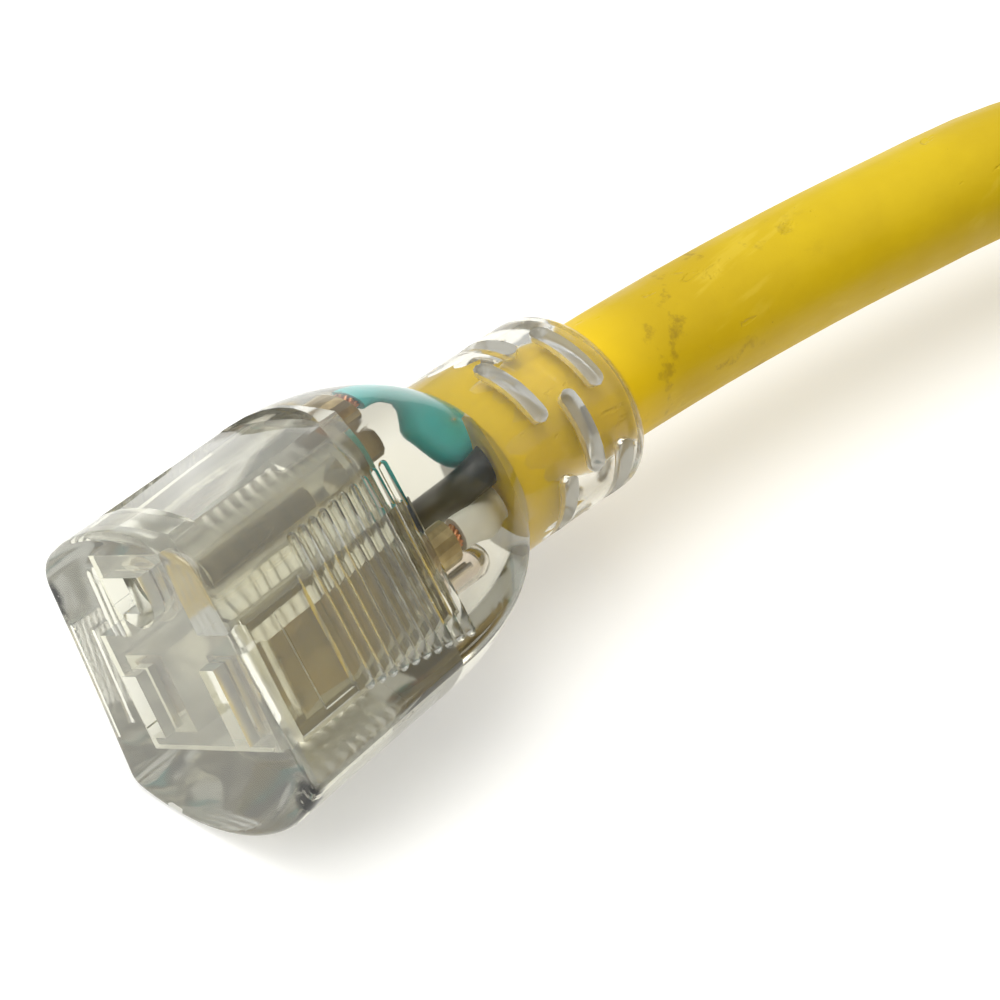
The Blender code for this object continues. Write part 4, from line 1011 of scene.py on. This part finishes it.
def tight_wrap(places, reach, samples=40, longest=3.0 * MM):
    """The tightest line round circles of this radius, anticlockwise: each point and its outward direction."""
    candidates = []
    for x, z in places:
        for k in range(samples):
            turn = 2 * math.pi * k / samples
            out = Vector((math.cos(turn), math.sin(turn)))
            candidates.append((Vector((x, z)) + out * reach, out))
    candidates.sort(key=lambda c: (c[0].x, c[0].y))

    def half_hull(ordered):
        chain = []
        for candidate in ordered:
            while len(chain) > 1:
                a, b = chain[-1][0] - chain[-2][0], candidate[0] - chain[-1][0]
                if a.x * b.y - a.y * b.x > 0:
                    break
                chain.pop()
            chain.append(candidate)
        return chain[:-1]

    corners = half_hull(candidates) + half_hull(candidates[::-1])
    wrap = []
    for (p, p_out), (q, q_out) in zip(corners, corners[1:] + corners[:1]):
        parts = max(1, math.ceil((q - p).length / longest))
        wrap += [(p.lerp(q, k / parts), p_out.lerp(q_out, k / parts).normalized()) for k in range(parts)]
    return wrap


def make_straps(surface):
    """Hook-and-loop straps drawn tight round the turns.  The free end is pressed on over the start, up the
    outer side."""
    centre = to_world(COIL_X, COIL_Y)
    thick, width, edge = 1.6 * MM, 20.0 * MM, 0.5 * MM
    flat = [-width / 2 + edge, -width / 4, 0.0, width / 4, width / 2 - edge]
    profile = [(-width / 2, thick / 2)] + [(y, 0.0) for y in flat] + [(width / 2, thick / 2)]
    profile += [(y, thick) for y in flat[::-1]]
    ramp_steps, overlap_top, step_out = 5, COIL_Z1 - 16.0 * MM, thick + 0.15 * MM
    made = []
    for name, degrees in (("coil_strap_left", 180.0), ("coil_strap_front", 300.0), ("coil_strap_back", 60.0)):
        under = [place for turn in (-8, -4, 0, 4, 8) for place in turn_places(centre, degrees + turn)]
        wrap = tight_wrap(under, CORD_R + GAP)
        # the tape starts at the coil's lower outer edge
        first = max(range(len(wrap)), key=lambda i: wrap[i][1].x - wrap[i][1].y)
        wrap = wrap[first:] + wrap[:first]
        overlap = next(i for i, (point, out) in enumerate(wrap) if point.y > overlap_top)
        rings = []
        for i in range(len(wrap) + overlap):
            point, out = wrap[i % len(wrap)]
            lift = step_out * eased(min(1.0, max(0.0, (i - len(wrap) + ramp_steps) / ramp_steps)))
            ring = []
            for y, height in profile:
                p = point + out * (height + lift)
                # across its width the tape follows the turns round the coil
                ring.append((p.x - y * y / (2 * (COIL_MID_R + p.x)), y, p.y))
            rings.append(ring)
        turned = Matrix.Rotation(math.radians(degrees), 4, "Z") @ Matrix.Translation((COIL_MID_R, 0, 0))
        place = Matrix.Translation((centre.x, centre.y, 0)) @ turned
        made.append(new_piece(name + "_tape", loft(name, rings), place, surface, [name]))
    return made


# ---------------------------------------------------------------- CAD nodes that stay

def dress_cad(looks):
    """Better materials, and a small bevel, on the CAD nodes whose shape is right."""
    nodes_by_look = {
        "rigid": ("contact_carrier", "carrier_cover", "plug_blade_bridge"),
        "brass": ("hot_contact", "neutral_contact", "ground_contact"),
        "tinned": ("lamp_lead_hot", "lamp_lead_middle", "lamp_lead_neutral"),
        "resistor": ("lamp_resistor",),
        "nickel": ("plug_hot_blade", "plug_neutral_blade", "plug_ground_pin"),
    }
    for look, names in nodes_by_look.items():
        for name in names:
            node = frame["nodes"][name]
            node.data.materials.clear()
            node.data.materials.append(looks[look])
    for name in ("plug_hot_blade", "plug_neutral_blade"):
        edge = frame["nodes"][name].modifiers.new("worn_edge", "BEVEL")
        edge.width = 0.12 * MM
        edge.segments = 2
        edge.limit_method = "ANGLE"


def main():
    make_camera()
    make_studio()
    make_floor()
    looks = {
        "rigid": clear_rigid(),
        "brass": metal("brass", (0.50, 0.40, 0.22), (0.27, 0.205, 0.11), 0.25, 0.45),
        "nickel": metal("nickel_plated_brass", (0.66, 0.62, 0.54), (0.50, 0.45, 0.36), 0.16, 0.34),
        "copper": metal("copper_strands", (0.80, 0.42, 0.24), (0.52, 0.22, 0.11), 0.22, 0.40),
        "tinned": metal("tinned_wire", (0.68, 0.68, 0.66), (0.50, 0.50, 0.48), 0.2, 0.4),
        "black": insulation("black_insulation", (0.013, 0.018, 0.023), (0.026, 0.034, 0.042)),
        "white": insulation("white_insulation", (0.88, 0.87, 0.81), (0.80, 0.79, 0.72)),
        "green": insulation("green_insulation", (0.09, 0.74, 0.76), (0.06, 0.64, 0.66)),
        "lamp": lamp_glass(),
        "resistor": resistor_coat(),
        "jacket": yellow_jacket(CONNECTOR @ Vector((0, 44.0 * MM, 0))),
        "strap": strap_fabric(),
    }
    clear = clear_vinyl("clear_vinyl", 0.03, 1.35, ((0.98, 0.97, 0.92), (0.95, 0.94, 0.88)))
    make_connector_body(clear)
    plug_body = make_plug_body(clear)
    make_conductors("", CONNECTOR, JACKET_END_Y, BARREL_Y1, bend_in_body(JACKET_END_Y), looks,
                    CROSSING_WAYS)
    on_plug = make_conductors("plug_", PLUG, PLUG_JACKET_END_Y, PLUG_BARREL_Y1, Vector((0, 0, 0)), looks)
    make_lamp_bulb(looks["lamp"])
    straps = make_straps(looks["strap"])
    dress_cad(looks)
    make_cord(looks["jacket"])


main()
